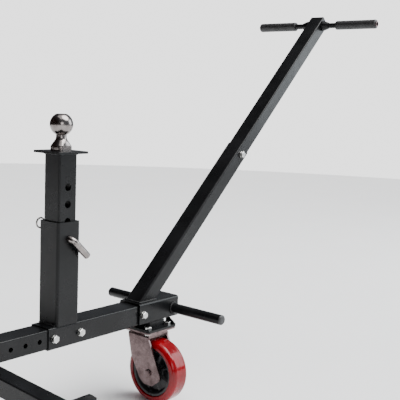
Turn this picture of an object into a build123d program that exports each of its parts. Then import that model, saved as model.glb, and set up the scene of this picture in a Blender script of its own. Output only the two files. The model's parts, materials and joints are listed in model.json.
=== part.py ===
from build123d import *
import math
import os

os.makedirs("parts", exist_ok=True)

# Hand-pulled trailer dolly, in millimetres. The origin is the centre of the hitch ball, on the axis of the
# post. +X runs along the beam from the rear axle to the swivel caster, -Y is the pin side, +Z is up.

# ---- driving dimensions: hitch post ----
ball_height = 700.0          # ball centre above the floor
ball_d = 50.8                # 2 in coupler ball
ball_flat_z = 23.0           # height of the flat on top of the ball
neck_d = 23.0                # waist between ball and collar
cone_top_z = -31.0
collar_d = 46.0              # flange that seats on the top plate
collar_flats = 38.0          # spanner flats on the flange
collar_h = 10.0
shank_d = 19.0               # threaded shank below the flange
top_plate_z = -57.4          # upper face of the top plate
top_plate_side = 86.0
top_plate_t = 5.0
ball_washer_d = 33.0
ball_washer_t = 4.0
ball_nut_af = 30.0
ball_nut_h = 15.0
inner_post_size = 50.8
inner_post_wall = 4.0
outer_post_wall = 5.85
post_gap = 0.5               # sliding clearance on each side of the inner post
inner_post_len = 340.0
outer_post_top = -212.0
hole_pitch = 38.1            # height adjustment step
first_hole_z = -135.8
post_hole_count = 7
pin_hole_index = 3           # the hole that the hitch pin sits in
pin_d = 15.9
pin_gap = 0.5                # radial clearance of the pin in its holes
pin_leg_len = 60.0
pin_leg_angle = -44.0        # direction of the bent leg in the XZ plane
pin_bend_r = 12.0
pin_far_len = 20.0           # pin beyond the far face of the post
clip_wire_d = 4.0
clip_angle = 109.0           # direction of the clip's loop in the XZ plane
clip_offset = 8.0            # clip beyond the far face of the post
clip_loop_at = 35.5          # from the pin to the eye
clip_loop_r = 11.0
clip_tail = 17.0             # straight leg past the pin
clip_leg_end = 11.0          # outer leg past the pin
clip_turn = 60.0             # degrees from the eye back to the outer leg
wire_gap = 0.3

# ---- driving dimensions: beam ----
beam_bottom = -493.4
beam_w = 60.0
beam_h = 50.0
beam_wall = 2.5
beam_left = -52.0
beam_right = 368.0
slide_gap = 0.3              # clearance on each side of the telescoping tube
inner_beam_wall = 3.0
inner_beam_left = -240.0
inner_beam_right = 75.0
beam_hole_pitch = 38.0
beam_bolt_x = -36.6          # first clamp bolt
beam_bolt_step = 2           # pitches between the two clamp bolts
beam_hole_left = 4           # spare holes to the left of the first bolt
m10_d = 10.0
m10_hole_d = 11.0
m10_af = 16.0
m10_head_h = 6.4
m10_nut_h = 8.0
m10_washer_d = 18.0
m10_washer_t = 2.0
thread_out = 3.0             # thread left showing beyond a nut

# ---- driving dimensions: handle ----
sleeve_left = 229.0
sleeve_right = 371.5
sleeve_wall = 4.7
sleeve_gap = 0.3
sleeve_bottom = -490.0
sleeve_bolt_x = 241.5         # bolt through sleeve and beam
sleeve_bolt_z = -466.4
handle_angle = 44.17
handle_foot_x = 265.8        # where the handle's axis meets handle_foot_z
handle_foot_z = -439.8
handle_w = 50.0              # lower tube, across
handle_h = 40.5              # lower tube, in the plane of the handle
handle_wall = 1.5
handle_gap = 0.2
upper_wall = 2.0
lower_tube_end = 537.0       # distances along the handle from its foot
upper_tube_start = 470.0
handle_bolt_at = 513.6
tbar_at = 1075.5
tbar_offset = 1.7            # T-bar axis above the handle's axis
handle_end = 1097.0
tbar_d = 16.0
tbar_half = 211.1
boss_d = 30.0
boss_tip_d = 19.0
boss_reach = 46.0
grip_d = 27.0
grip_in = 72.7
grip_out = 208.5
fit_gap = 0.05               # clearance of a round bar in its own hole
bead_leg = 3.0               # weld bead under the top plate
foot_bead = 5.5              # weld bead at the post's foot
ring_bead = 5.0              # weld bead round the cross bar

# ---- driving dimensions: cross bar ----
cross_x = 354.4
cross_z = -469.0
cross_d = 25.0
cross_wall = 2.5
cross_half = 190.0
cross_cap_t = 5.3

# ---- driving dimensions: swivel caster ----
swivel_x = 299.0
spacer_h = 14.6
spacer_x = 52.0
spacer_wall = 8.0
mount_plate_side = 100.0
mount_plate_t = 6.0
caster_plate_t = 4.0
plate_bolt_x = 72.0
plate_bolt_y = 64.0
m12_d = 12.0
m12_nut_af = 19.0
m12_nut_h = 10.8
gusset_t = 4.4
race_drop = 6.0              # from the caster plate down to the fork crown
race_ball_d = 3.8
race_pitch_d = 60.0
race_balls = 24
kingpin_d = 14.0
kingpin_gap = 0.1
kingpin_head_d = 24.0
kingpin_head_h = 6.0
kingpin_nut_af = 22.0
kingpin_nut_h = 10.0
fork_t = 5.0
fork_gap = 4.0               # between the wheel and each fork leg
trail = 37.0                 # wheel axle behind the swivel axis
caster_d = 160.0
caster_w = 56.0
tread_shoulder = 14.0
core_d = 125.0
hub_d = 44.0
bush_d = 20.0
caster_bearing_d = 32.0
run_gap = 0.06               # running clearance in plain bores

# ---- driving dimensions: rear axle and wheels ----
axle_x = -198.7
axle_weld_root = 1.5         # weld between the arms and the beam
arm_size = 40.0
arm_wall = 3.0
arm_slope = 4.0              # the arms fall away from the middle by this angle
hanger_y = 296.0             # inner face of each hanger plate
hanger_t = 8.0
hanger_top = -481.5
hanger_w = 66.0
rear_d = 203.0
rear_w = 50.0
rear_rim_d = 150.0
rear_hub_d = 50.0
rear_wheel_gap = 6.0
spindle_d = 16.0
spindle_af = 24.0
spindle_head_h = 10.0
spindle_nut_h = 12.0
spindle_washer_d = 25.0
spindle_washer_t = 3.0
rear_bearing_d = 35.0
rear_bearing_w = 11.0

# ---- places worked out from the dimensions ----
floor_z = -ball_height
outer_post_size = inner_post_size + 2 * (post_gap + outer_post_wall)
outer_half = outer_post_size / 2
inner_post_top = top_plate_z - top_plate_t
pin_z = first_hole_z - pin_hole_index * hole_pitch
post_hole_d = pin_d + 2 * pin_gap
beam_top = beam_bottom + beam_h
beam_z = beam_bottom + beam_h / 2
inner_beam_w = beam_w - 2 * (beam_wall + slide_gap)
inner_beam_h = beam_h - 2 * (beam_wall + slide_gap)
inner_beam_bottom = beam_z - inner_beam_h / 2
sleeve_half = beam_w / 2 + sleeve_gap + sleeve_wall
sleeve_top = beam_top + sleeve_gap + sleeve_wall
upper_w = handle_w - 2 * (handle_wall + handle_gap)
upper_h = handle_h - 2 * (handle_wall + handle_gap)
mount_plate_top = beam_bottom - spacer_h
caster_plate_top = mount_plate_top - mount_plate_t
caster_plate_bottom = caster_plate_top - caster_plate_t
crown_top = caster_plate_bottom - race_drop
crown_bottom = crown_top - fork_t
caster_r = caster_d / 2
caster_axle_z = floor_z + caster_r
fork_in = caster_w / 2 + fork_gap
fork_out = fork_in + fork_t
rear_r = rear_d / 2
rear_axle_z = floor_z + rear_r
rear_in_y = hanger_y + hanger_t + rear_wheel_gap
rear_mid_y = rear_in_y + rear_w / 2
beam_bolt_xs = [beam_bolt_x, beam_bolt_x + beam_bolt_step * beam_hole_pitch]
plate_bolt_places = [
    (swivel_x + sx * plate_bolt_x / 2, sy * plate_bolt_y / 2) for sx in (-1, 1) for sy in (-1, 1)
]


def rect_tube(x_size, y_size, wall, radius):
    """Sketch of a rectangular tube's section with rounded corners, centred on the sketch's origin."""
    with BuildSketch() as section:
        RectangleRounded(x_size, y_size, radius)
        RectangleRounded(x_size - 2 * wall, y_size - 2 * wall, max(radius - wall, 0.6), mode=Mode.SUBTRACT)
    return section.sketch


def side_plane(x, y, z, out):
    """Plane at a point, facing along Y towards the side out (-1 or 1)."""
    return Plane(origin=(x, y, z), x_dir=(-out, 0, 0), z_dir=(0, out, 0))


def handle_plane(distance, lift=0.0):
    """Plane square to the handle at a distance from its foot, lifted off its axis; its x axis is +Y."""
    a = math.radians(handle_angle)
    along = Vector(math.cos(a), 0, math.sin(a))
    up = Vector(-math.sin(a), 0, math.cos(a))
    foot = Vector(handle_foot_x, 0, handle_foot_z)
    return Plane(origin=foot + along * distance + up * lift, x_dir=(0, 1, 0), z_dir=along)


def handle_point(distance, lift=0.0):
    """Point on the handle's centre plane."""
    return handle_plane(distance, lift).origin


handle_axis = Axis(handle_plane(0).origin, handle_plane(0).z_dir)


def save(part, name):
    """Label a finished part and write it as one STEP file."""
    part.label = name
    export_step(part, f"parts/{name}.step")


# ================= hitch post =================
with BuildPart() as hitch_ball:
    with BuildSketch(Plane.XZ):
        with BuildLine():
            flat_r = math.sqrt((ball_d / 2) ** 2 - ball_flat_z ** 2)
            waist_z = -math.sqrt((ball_d / 2) ** 2 - (neck_d / 2) ** 2)
            Line((0, ball_flat_z), (flat_r, ball_flat_z))
            ThreePointArc((flat_r, ball_flat_z), (ball_d / 2, 0), (neck_d / 2, waist_z))
            collar_z = top_plate_z + collar_h
            Polyline((neck_d / 2, waist_z), (neck_d / 2, cone_top_z), (collar_d / 2, collar_z),
                     (collar_d / 2, top_plate_z), (shank_d / 2, top_plate_z),
                     (shank_d / 2, top_plate_z - 30), (0, top_plate_z - 30), (0, ball_flat_z))
        make_face()
    revolve(axis=Axis.Z)
    for flat_side in (-1, 1):
        with BuildSketch(Plane.XY.offset(top_plate_z)):
            with Locations((0, flat_side * (collar_flats / 2 + 10))):
                Rectangle(2 * collar_d, 20)
        extrude(amount=cone_top_z - top_plate_z, mode=Mode.SUBTRACT)
save(hitch_ball.part, "hitch_ball")

with BuildPart() as top_plate:
    with BuildSketch(Plane.XY.offset(top_plate_z - top_plate_t)):
        RectangleRounded(top_plate_side, top_plate_side, 4)
        Circle(shank_d / 2 + fit_gap, mode=Mode.SUBTRACT)
    extrude(amount=top_plate_t)
    fillet(top_plate.faces().sort_by(Axis.Z)[-1].outer_wire().edges(), 1.0)
save(top_plate.part, "top_plate")

with BuildPart() as ball_washer:
    with BuildSketch(Plane.XY.offset(inner_post_top - ball_washer_t)):
        Circle(ball_washer_d / 2)
        Circle(shank_d / 2 + fit_gap, mode=Mode.SUBTRACT)
    extrude(amount=ball_washer_t)
save(ball_washer.part, "ball_lock_washer")

with BuildPart() as ball_nut:
    with BuildSketch(Plane.XY.offset(inner_post_top - ball_washer_t - ball_nut_h)):
        RegularPolygon(ball_nut_af / 2, 6, major_radius=False)
        Circle(shank_d / 2 + fit_gap, mode=Mode.SUBTRACT)
    extrude(amount=ball_nut_h)
save(ball_nut.part, "ball_nut")

with BuildPart() as inner_post:
    with BuildSketch(Plane.XY.offset(inner_post_top - inner_post_len)):
        add(rect_tube(inner_post_size, inner_post_size, inner_post_wall, 4.5))
    extrude(amount=inner_post_len)
    for index in range(post_hole_count):
        with BuildSketch(Plane.XZ.offset(-inner_post_size)):
            with Locations((0, first_hole_z - index * hole_pitch)):
                Circle(post_hole_d / 2)
        extrude(amount=2 * inner_post_size, mode=Mode.SUBTRACT)
save(inner_post.part, "inner_post")

with BuildPart() as outer_post:
    with BuildSketch(Plane.XY.offset(beam_top)):
        add(rect_tube(outer_post_size, outer_post_size, outer_post_wall, 6.0))
    extrude(amount=outer_post_top - beam_top)
    with BuildSketch(Plane.XZ.offset(-outer_post_size)):
        with Locations((0, pin_z)):
            Circle(post_hole_d / 2)
    extrude(amount=2 * outer_post_size, mode=Mode.SUBTRACT)
save(outer_post.part, "outer_post")


with BuildPart() as post_top_weld:
    with BuildSketch(Plane.XY.offset(inner_post_top)):
        RectangleRounded(inner_post_size + 2 * bead_leg, inner_post_size + 2 * bead_leg, 6)
    extrude(amount=-bead_leg, taper=35)
    with BuildSketch(Plane.XY.offset(inner_post_top)):
        RectangleRounded(inner_post_size, inner_post_size, 4.5)
    extrude(amount=-bead_leg, mode=Mode.SUBTRACT)

with BuildPart() as post_base_weld:
    for bead_side in (-1, 1):
        corner = (bead_side * outer_half, 0, beam_top)
        with BuildSketch(Plane(origin=corner, x_dir=(bead_side, 0, 0), z_dir=(0, -bead_side, 0))):
            with BuildLine():
                Line((0, 0), (foot_bead, 0))
                ThreePointArc((foot_bead, 0), (0.62 * foot_bead, 0.62 * foot_bead), (0, foot_bead))
                Line((0, foot_bead), (0, 0))
            make_face()
        extrude(amount=beam_w / 2 - 3, both=True)

pin_leg_y = -(outer_half + pin_gap + pin_bend_r)
pin_far_y = outer_half + pin_far_len
clip_y = outer_half + clip_offset
leg_a = math.radians(pin_leg_angle)
leg_dir = Vector(math.cos(leg_a), 0, math.sin(leg_a))
with BuildPart() as hitch_pin:
    with BuildLine():
        FilletPolyline(
            (0, pin_far_y, pin_z),
            (0, pin_leg_y, pin_z),
            (pin_leg_len * leg_dir.X, pin_leg_y, pin_z + pin_leg_len * leg_dir.Z),
            radius=pin_bend_r,
        )
    with BuildSketch(Plane(origin=(0, pin_far_y, pin_z), x_dir=(1, 0, 0), z_dir=(0, -1, 0))):
        Circle(pin_d / 2)
    sweep()
    chamfer(hitch_pin.edges().filter_by(GeomType.CIRCLE).group_by(Axis.Y)[-1], 1.2)
    clip_dir = Vector(math.cos(math.radians(clip_angle)), 0, math.sin(math.radians(clip_angle)))
    cross_hole = Plane(origin=(0, clip_y, pin_z), x_dir=(0, 1, 0), z_dir=clip_dir)
    with BuildSketch(cross_hole):
        Circle(clip_wire_d / 2 + wire_gap)
    extrude(amount=pin_d, both=True, mode=Mode.SUBTRACT)
save(hitch_pin.part, "hitch_pin")

clip_plane = Plane(origin=(0, clip_y, pin_z), x_dir=clip_dir, z_dir=(0, 1, 0))
clip_outer_leg = pin_d / 2 + clip_wire_d / 2 + wire_gap
clip_turn_a = math.radians(clip_turn)
clip_blend_r = (clip_loop_r * (1 + math.cos(clip_turn_a)) - clip_outer_leg) / (1 - math.cos(clip_turn_a))
eye_exit_x = clip_loop_at - clip_loop_r * math.sin(clip_turn_a)
outer_leg_x = eye_exit_x - clip_blend_r * math.sin(clip_turn_a)


def arc_point(x, y, radius, degrees):
    """Point on a circle in the clip's plane."""
    a = math.radians(degrees)
    return (x + radius * math.cos(a), y + radius * math.sin(a))


eye_middle = arc_point(clip_loop_at, -clip_loop_r, clip_loop_r, 90 - (90 + clip_turn + 90) / 2)
eye_exit = arc_point(clip_loop_at, -clip_loop_r, clip_loop_r, clip_turn - 210)
blend_middle = arc_point(outer_leg_x, -clip_outer_leg - clip_blend_r, clip_blend_r, 90 - clip_turn / 2)
with BuildPart() as pin_clip:
    with BuildLine(clip_plane):
        Line((-clip_tail, 0), (clip_loop_at, 0))
        ThreePointArc((clip_loop_at, 0), eye_middle, eye_exit)
        ThreePointArc(eye_exit, blend_middle, (outer_leg_x, -clip_outer_leg))
        Line((outer_leg_x, -clip_outer_leg), (-clip_leg_end, -clip_outer_leg))
    with BuildSketch(Plane(origin=clip_plane.from_local_coords((-clip_tail, 0, 0)), z_dir=clip_dir)):
        Circle(clip_wire_d / 2)
    sweep()
save(pin_clip.part, "pin_clip")

# ================= telescoping beam =================
beam_plane = Plane(origin=(0, 0, beam_z), x_dir=(0, 1, 0), z_dir=(1, 0, 0))
with BuildPart() as outer_beam:
    with BuildSketch(beam_plane.offset(beam_left)):
        add(rect_tube(beam_w, beam_h, beam_wall, 4.0))
    extrude(amount=beam_right - beam_left)
    for bolt_x in beam_bolt_xs:
        with BuildSketch(Plane.XZ.offset(-beam_w)):
            with Locations((bolt_x, beam_z)):
                Circle(m10_hole_d / 2)
        extrude(amount=2 * beam_w, mode=Mode.SUBTRACT)
    with BuildSketch(Plane.XZ.offset(-beam_w)):
        with Locations((cross_x, cross_z)):
            Circle(cross_d / 2 + 0.3)
        with Locations((sleeve_bolt_x, sleeve_bolt_z)):
            Circle(m10_hole_d / 2)
    extrude(amount=2 * beam_w, mode=Mode.SUBTRACT)
save(outer_beam.part, "outer_beam")

with BuildPart() as inner_beam:
    with BuildSketch(beam_plane.offset(inner_beam_left)):
        add(rect_tube(inner_beam_w, inner_beam_h, inner_beam_wall, 3.5))
    extrude(amount=inner_beam_right - inner_beam_left)
    for index in range(-beam_hole_left, beam_bolt_step + 1):
        with BuildSketch(Plane.XZ.offset(-beam_w)):
            with Locations((beam_bolt_x + index * beam_hole_pitch, beam_z)):
                Circle(m10_hole_d / 2)
        extrude(amount=2 * beam_w, mode=Mode.SUBTRACT)
save(inner_beam.part, "inner_beam")

plug_less = 2 * inner_beam_wall + 0.4
with BuildPart() as inner_beam_plug:
    with BuildSketch(beam_plane.offset(inner_beam_left)):
        RectangleRounded(inner_beam_w - plug_less, inner_beam_h - plug_less, 1)
    extrude(amount=14)
    with BuildSketch(beam_plane.offset(inner_beam_left)):
        RectangleRounded(inner_beam_w, inner_beam_h, 3.5)
    extrude(amount=-3)
    fillet(inner_beam_plug.faces().sort_by(Axis.X)[0].edges(), 1.2)
save(inner_beam_plug.part, "inner_beam_plug")

with BuildPart() as beam_end_cap:
    with BuildSketch(beam_plane.offset(beam_right)):
        RectangleRounded(beam_w, beam_h, 4)
    extrude(amount=2.6)
    fillet(beam_end_cap.faces().sort_by(Axis.X)[-1].edges(), 1.5)
save(beam_end_cap.part, "beam_end_cap")


def side_bolts(name, places, half_span):
    """M10 bolts along Y with their heads on the -Y side; places are (x, z) points."""
    with BuildPart() as bolts:
        head_y = -(half_span + m10_washer_t)
        for x, z in places:
            with BuildSketch(side_plane(x, head_y, z, -1)):
                RegularPolygon(m10_af / 2, 6, major_radius=False, rotation=30)
            extrude(amount=m10_head_h)
            with BuildSketch(side_plane(x, head_y, z, -1)):
                Circle(m10_d / 2)
            extrude(amount=-(2 * half_span + 2 * m10_washer_t + m10_nut_h + thread_out))
        head_faces = bolts.faces().filter_by(Plane.XZ).group_by(Axis.Y)[0]
        chamfer(head_faces.edges(), 0.9)
    save(bolts.part, name)


def side_washers(name, places, half_span):
    """Washers against both faces of a bolted joint along Y."""
    with BuildPart() as washers:
        for x, z in places:
            for out in (-1, 1):
                with BuildSketch(side_plane(x, out * half_span, z, out)):
                    Circle(m10_washer_d / 2)
                    Circle(m10_d / 2 + fit_gap, mode=Mode.SUBTRACT)
                extrude(amount=m10_washer_t)
    save(washers.part, name)


def side_nuts(name, places, half_span):
    """Lock nuts on the +Y side of a bolted joint."""
    with BuildPart() as nuts:
        for x, z in places:
            with BuildSketch(side_plane(x, half_span + m10_washer_t, z, 1)):
                RegularPolygon(m10_af / 2, 6, major_radius=False, rotation=30)
                Circle(m10_d / 2 + fit_gap, mode=Mode.SUBTRACT)
            extrude(amount=m10_nut_h)
    save(nuts.part, name)


beam_places = [(x, beam_z) for x in beam_bolt_xs]
side_bolts("beam_bolts", beam_places, beam_w / 2)
side_washers("beam_washers", beam_places, beam_w / 2)
side_nuts("beam_nuts", beam_places, beam_w / 2)

# ================= handle =================
with BuildPart() as handle_sleeve:
    with BuildSketch(Plane(origin=(sleeve_left, 0, 0), x_dir=(0, 1, 0), z_dir=(1, 0, 0))):
        with BuildLine():
            sleeve_in = beam_w / 2 + sleeve_gap
            FilletPolyline(
                (-sleeve_half, sleeve_bottom), (-sleeve_half, sleeve_top), (sleeve_half, sleeve_top),
                (sleeve_half, sleeve_bottom), radius=6.0)
            Line((sleeve_half, sleeve_bottom), (sleeve_in, sleeve_bottom))
            FilletPolyline((sleeve_in, sleeve_bottom), (sleeve_in, beam_top + sleeve_gap),
                           (-sleeve_in, beam_top + sleeve_gap), (-sleeve_in, sleeve_bottom), radius=1.3)
            Line((-sleeve_in, sleeve_bottom), (-sleeve_half, sleeve_bottom))
        make_face()
    extrude(amount=sleeve_right - sleeve_left)
    with BuildSketch(Plane.XZ.offset(-beam_w)):
        with Locations((cross_x, cross_z)):
            Circle(cross_d / 2 + fit_gap)
        with Locations((sleeve_bolt_x, sleeve_bolt_z)):
            Circle(m10_hole_d / 2)
    extrude(amount=2 * beam_w, mode=Mode.SUBTRACT)
save(handle_sleeve.part, "handle_sleeve")

sleeve_places = [(sleeve_bolt_x, sleeve_bolt_z)]
side_bolts("sleeve_bolt", sleeve_places, sleeve_half)
side_washers("sleeve_bolt_washers", sleeve_places, sleeve_half)
side_nuts("sleeve_bolt_nut", sleeve_places, sleeve_half)

bolt_point = handle_point(handle_bolt_at)
with BuildPart() as lower_handle:
    with BuildSketch(handle_plane(-60)):
        add(rect_tube(handle_w, handle_h, handle_wall, 4.0))
    extrude(amount=lower_tube_end + 60)
    split(bisect_by=Plane.XY.offset(sleeve_top), keep=Keep.TOP)
    with BuildSketch(side_plane(bolt_point.X, -handle_w, bolt_point.Z, 1)):
        Circle(m10_hole_d / 2)
    extrude(amount=2 * handle_w, mode=Mode.SUBTRACT)
save(lower_handle.part, "lower_handle_tube")

tbar_point = handle_point(tbar_at, tbar_offset)
with BuildPart() as upper_handle:
    with BuildSketch(handle_plane(upper_tube_start)):
        add(rect_tube(upper_w, upper_h, upper_wall, 3.5))
    extrude(amount=handle_end - upper_tube_start)
    with BuildSketch(side_plane(bolt_point.X, -handle_w, bolt_point.Z, 1)):
        Circle(m10_hole_d / 2)
    extrude(amount=2 * handle_w, mode=Mode.SUBTRACT)
    with BuildSketch(side_plane(tbar_point.X, -handle_w, tbar_point.Z, 1)):
        Circle(tbar_d / 2 + fit_gap)
    extrude(amount=2 * handle_w, mode=Mode.SUBTRACT)
save(upper_handle.part, "upper_handle_tube")

with BuildPart() as handle_cap:
    with BuildSketch(handle_plane(handle_end)):
        RectangleRounded(upper_w, upper_h, 3.5)
    extrude(amount=2.2)
    fillet(handle_cap.faces().sort_by(handle_axis)[-1].edges(), 1.2)
    with BuildSketch(handle_plane(handle_end)):
        RectangleRounded(upper_w - 2 * upper_wall - 0.4, upper_h - 2 * upper_wall - 0.4, 1.5)
    extrude(amount=-9)
save(handle_cap.part, "handle_end_cap")

foot_half_x = handle_h / 2 / math.sin(math.radians(handle_angle))
foot_x = handle_foot_x + (sleeve_top - handle_foot_z) / math.tan(math.radians(handle_angle))
with BuildPart() as handle_weld:
    with BuildSketch(Plane.XY.offset(sleeve_top)):
        with Locations((foot_x, 0)):
            RectangleRounded(2 * foot_half_x + 10, handle_w + 9, 6)
    extrude(amount=5, taper=42)
    with BuildSketch(handle_plane(-60)):
        RectangleRounded(handle_w, handle_h, 4.0)
    extrude(amount=200, mode=Mode.SUBTRACT)

handle_places = [(bolt_point.X, bolt_point.Z)]
side_bolts("handle_bolt", handle_places, handle_w / 2)
side_washers("handle_bolt_washers", handle_places, handle_w / 2)
side_nuts("handle_bolt_nut", handle_places, handle_w / 2)

with BuildPart() as tbar:
    with BuildSketch(side_plane(tbar_point.X, -tbar_half, tbar_point.Z, 1)):
        Circle(tbar_d / 2)
    extrude(amount=2 * tbar_half)
    for tube_side in (-1, 1):
        with BuildSketch(side_plane(tbar_point.X, tube_side * tbar_half, tbar_point.Z, tube_side)):
            Circle(tbar_d / 2 - 2)
        extrude(amount=-60, mode=Mode.SUBTRACT)
save(tbar.part, "tbar")

tbar_middle = (tbar_point.X, 0, tbar_point.Z)
boss_bore = tbar_d + 2 * fit_gap
with BuildPart() as tbar_bosses:
    for boss_side in (-1, 1):
        with BuildSketch(Plane(origin=tbar_middle, x_dir=(0, boss_side, 0), z_dir=(boss_side, 0, 0))):
            with BuildLine():
                Polyline(
                    (upper_w / 2, boss_bore / 2), (upper_w / 2, boss_d / 2), (upper_w / 2 + 6, boss_d / 2),
                    (boss_reach, boss_tip_d / 2), (boss_reach, boss_bore / 2), (upper_w / 2, boss_bore / 2))
            make_face()
        revolve(axis=Axis(tbar_middle, (0, 1, 0)))
save(tbar_bosses.part, "tbar_bosses")

for grip_side, grip_name in ((-1, "grip_near"), (1, "grip_far")):
    with BuildPart() as grip:
        with BuildSketch(side_plane(tbar_point.X, grip_side * grip_in, tbar_point.Z, grip_side)):
            Circle(grip_d / 2)
            Circle(tbar_d / 2 + fit_gap, mode=Mode.SUBTRACT)
        extrude(amount=grip_out - grip_in)
        fillet(grip.edges().filter_by(GeomType.CIRCLE).sort_by(SortBy.RADIUS)[-2:], 3.0)
    save(grip.part, grip_name)

# ================= cross bar =================
with BuildPart() as cross_bar:
    with BuildSketch(side_plane(cross_x, -cross_half, cross_z, 1)):
        Circle(cross_d / 2)
        Circle(cross_d / 2 - cross_wall, mode=Mode.SUBTRACT)
    extrude(amount=2 * cross_half)
save(cross_bar.part, "cross_bar")

with BuildPart() as cross_caps:
    for cap_side in (-1, 1):
        with BuildSketch(side_plane(cross_x, cap_side * cross_half, cross_z, cap_side)):
            Circle(cross_d / 2)
        extrude(amount=cross_cap_t)
        with BuildSketch(side_plane(cross_x, cap_side * cross_half, cross_z, cap_side)):
            Circle(cross_d / 2 - cross_wall - fit_gap)
        extrude(amount=-12)
    cap_rims = cross_caps.edges().filter_by(GeomType.CIRCLE).group_by(Axis.Y)
    fillet(cap_rims[0] + cap_rims[-1], 4.0)
save(cross_caps.part, "cross_bar_caps")

with BuildPart() as cross_welds:
    for weld_side in (-1, 1):
        ring_plane = Plane(origin=(cross_x, 0, cross_z), x_dir=(0, weld_side, 0), z_dir=(weld_side, 0, 0))
        with BuildSketch(ring_plane):
            with BuildLine():
                low_r = cross_d / 2 + fit_gap
                bead_middle = (sleeve_half + 0.64 * ring_bead, low_r + 0.64 * ring_bead)
                Line((sleeve_half, low_r), (sleeve_half, low_r + ring_bead))
                ThreePointArc((sleeve_half, low_r + ring_bead), bead_middle, (sleeve_half + ring_bead, low_r))
                Line((sleeve_half + ring_bead, low_r), (sleeve_half, low_r))
            make_face()
        revolve(axis=Axis((cross_x, 0, cross_z), (0, 1, 0)))

# ================= caster mounting =================
with BuildPart() as caster_spacer:
    with BuildSketch(Plane.XY.offset(mount_plate_top)):
        with Locations((swivel_x, 0)):
            Rectangle(spacer_x, beam_w)
            Rectangle(spacer_x - 2 * spacer_wall, beam_w - 2 * spacer_wall, mode=Mode.SUBTRACT)
    extrude(amount=spacer_h)
save(caster_spacer.part, "caster_spacer")

with BuildPart() as gussets:
    gusset_x = swivel_x + mount_plate_side / 2 - gusset_t
    for gusset_side in (-1, 1):
        with BuildSketch(Plane(origin=(gusset_x, 0, 0), x_dir=(0, 1, 0), z_dir=(1, 0, 0))):
            with BuildLine():
                gusset_in = gusset_side * (beam_w / 2 - 12)
                Polyline(
                    (gusset_in, mount_plate_top), (gusset_side * mount_plate_side / 2, mount_plate_top),
                    (gusset_side * (beam_w / 2 - 2), beam_bottom), (gusset_in, beam_bottom),
                    (gusset_in, mount_plate_top))
            make_face()
        extrude(amount=gusset_t)
save(gussets.part, "plate_gussets")

with BuildPart() as mount_plate:
    with BuildSketch(Plane.XY.offset(caster_plate_top)):
        with Locations((swivel_x, 0)):
            RectangleRounded(mount_plate_side, mount_plate_side, 3)
            Circle(16, mode=Mode.SUBTRACT)
        with Locations(*plate_bolt_places):
            Circle(m10_hole_d / 2, mode=Mode.SUBTRACT)
    extrude(amount=mount_plate_t)
save(mount_plate.part, "caster_mounting_plate")

with BuildPart() as caster_plate:
    with BuildSketch(Plane.XY.offset(caster_plate_bottom)):
        with Locations((swivel_x, 0)):
            RectangleRounded(mount_plate_side, mount_plate_side, 6)
            Circle(kingpin_d / 2 + kingpin_gap, mode=Mode.SUBTRACT)
        with Locations(*plate_bolt_places):
            Circle(m10_hole_d / 2, mode=Mode.SUBTRACT)
    extrude(amount=caster_plate_t)
save(caster_plate.part, "caster_top_plate")

with BuildPart() as plate_bolts:
    for place_x, place_y in plate_bolt_places:
        with BuildSketch(Plane.XY.offset(mount_plate_top)):
            with Locations((place_x, place_y)):
                RegularPolygon(m10_af / 2, 6, major_radius=False)
        extrude(amount=m10_head_h)
        with BuildSketch(Plane.XY.offset(mount_plate_top)):
            with Locations((place_x, place_y)):
                Circle(m10_d / 2)
        extrude(amount=-(mount_plate_t + caster_plate_t + race_drop - 0.8))
    chamfer(plate_bolts.faces().sort_by(Axis.Z)[-4:].edges(), 0.8)
save(plate_bolts.part, "caster_plate_bolts")

with BuildPart() as plate_nuts:
    for place_x, place_y in plate_bolt_places:
        with BuildSketch(Plane.XY.offset(caster_plate_bottom)):
            with Locations((place_x, place_y)):
                RegularPolygon(m10_af / 2, 6, major_radius=False)
                Circle(m10_d / 2 + fit_gap, mode=Mode.SUBTRACT)
        extrude(amount=-(race_drop - 1.2))
save(plate_nuts.part, "caster_plate_nuts")

upper_race_t = race_drop - race_ball_d - 0.2
with BuildPart() as upper_race:
    with BuildSketch(Plane(origin=(swivel_x, 0, caster_plate_bottom), x_dir=(1, 0, 0), z_dir=(0, -1, 0))):
        race_r = race_pitch_d / 2
        with BuildLine():
            lip_z = -(race_drop - 0.6)
            Polyline(
                (race_r - 6, 0), (race_r + 5.4, 0), (race_r + 5.4, lip_z), (race_r + 3.4, lip_z),
                (race_r + 3.4, -upper_race_t), (race_r - 6, -upper_race_t), (race_r - 6, 0))
        make_face()
    revolve(axis=Axis((swivel_x, 0, 0), (0, 0, 1)))
save(upper_race.part, "upper_race")

with BuildPart() as ball_ring:
    for ball_index in range(race_balls):
        with Locations(Location((swivel_x, 0, 0), (0, 0, 360 * ball_index / race_balls))):
            with Locations((race_pitch_d / 2, 0, crown_top + 0.1 + race_ball_d / 2)):
                Sphere(race_ball_d / 2)
save(ball_ring.part, "race_balls")

with BuildPart() as kingpin:
    with BuildSketch(Plane.XY.offset(crown_bottom - kingpin_head_h - 0.3)):
        with Locations((swivel_x, 0)):
            Circle(kingpin_head_d / 2)
    extrude(amount=kingpin_head_h)
    with BuildSketch(Plane.XY.offset(crown_bottom - kingpin_head_h / 2)):
        with Locations((swivel_x, 0)):
            Circle(kingpin_d / 2)
    extrude(amount=caster_plate_top + kingpin_nut_h + 2 - (crown_bottom - kingpin_head_h / 2))
    fillet(kingpin.edges().filter_by(GeomType.CIRCLE).group_by(Axis.Z)[0], 2.0)
save(kingpin.part, "kingpin")

with BuildPart() as kingpin_nut:
    with BuildSketch(Plane.XY.offset(caster_plate_top)):
        with Locations((swivel_x, 0)):
            RegularPolygon(kingpin_nut_af / 2, 6, major_radius=False)
            Circle(kingpin_d / 2 + fit_gap, mode=Mode.SUBTRACT)
    extrude(amount=kingpin_nut_h)
save(kingpin_nut.part, "kingpin_nut")

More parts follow.
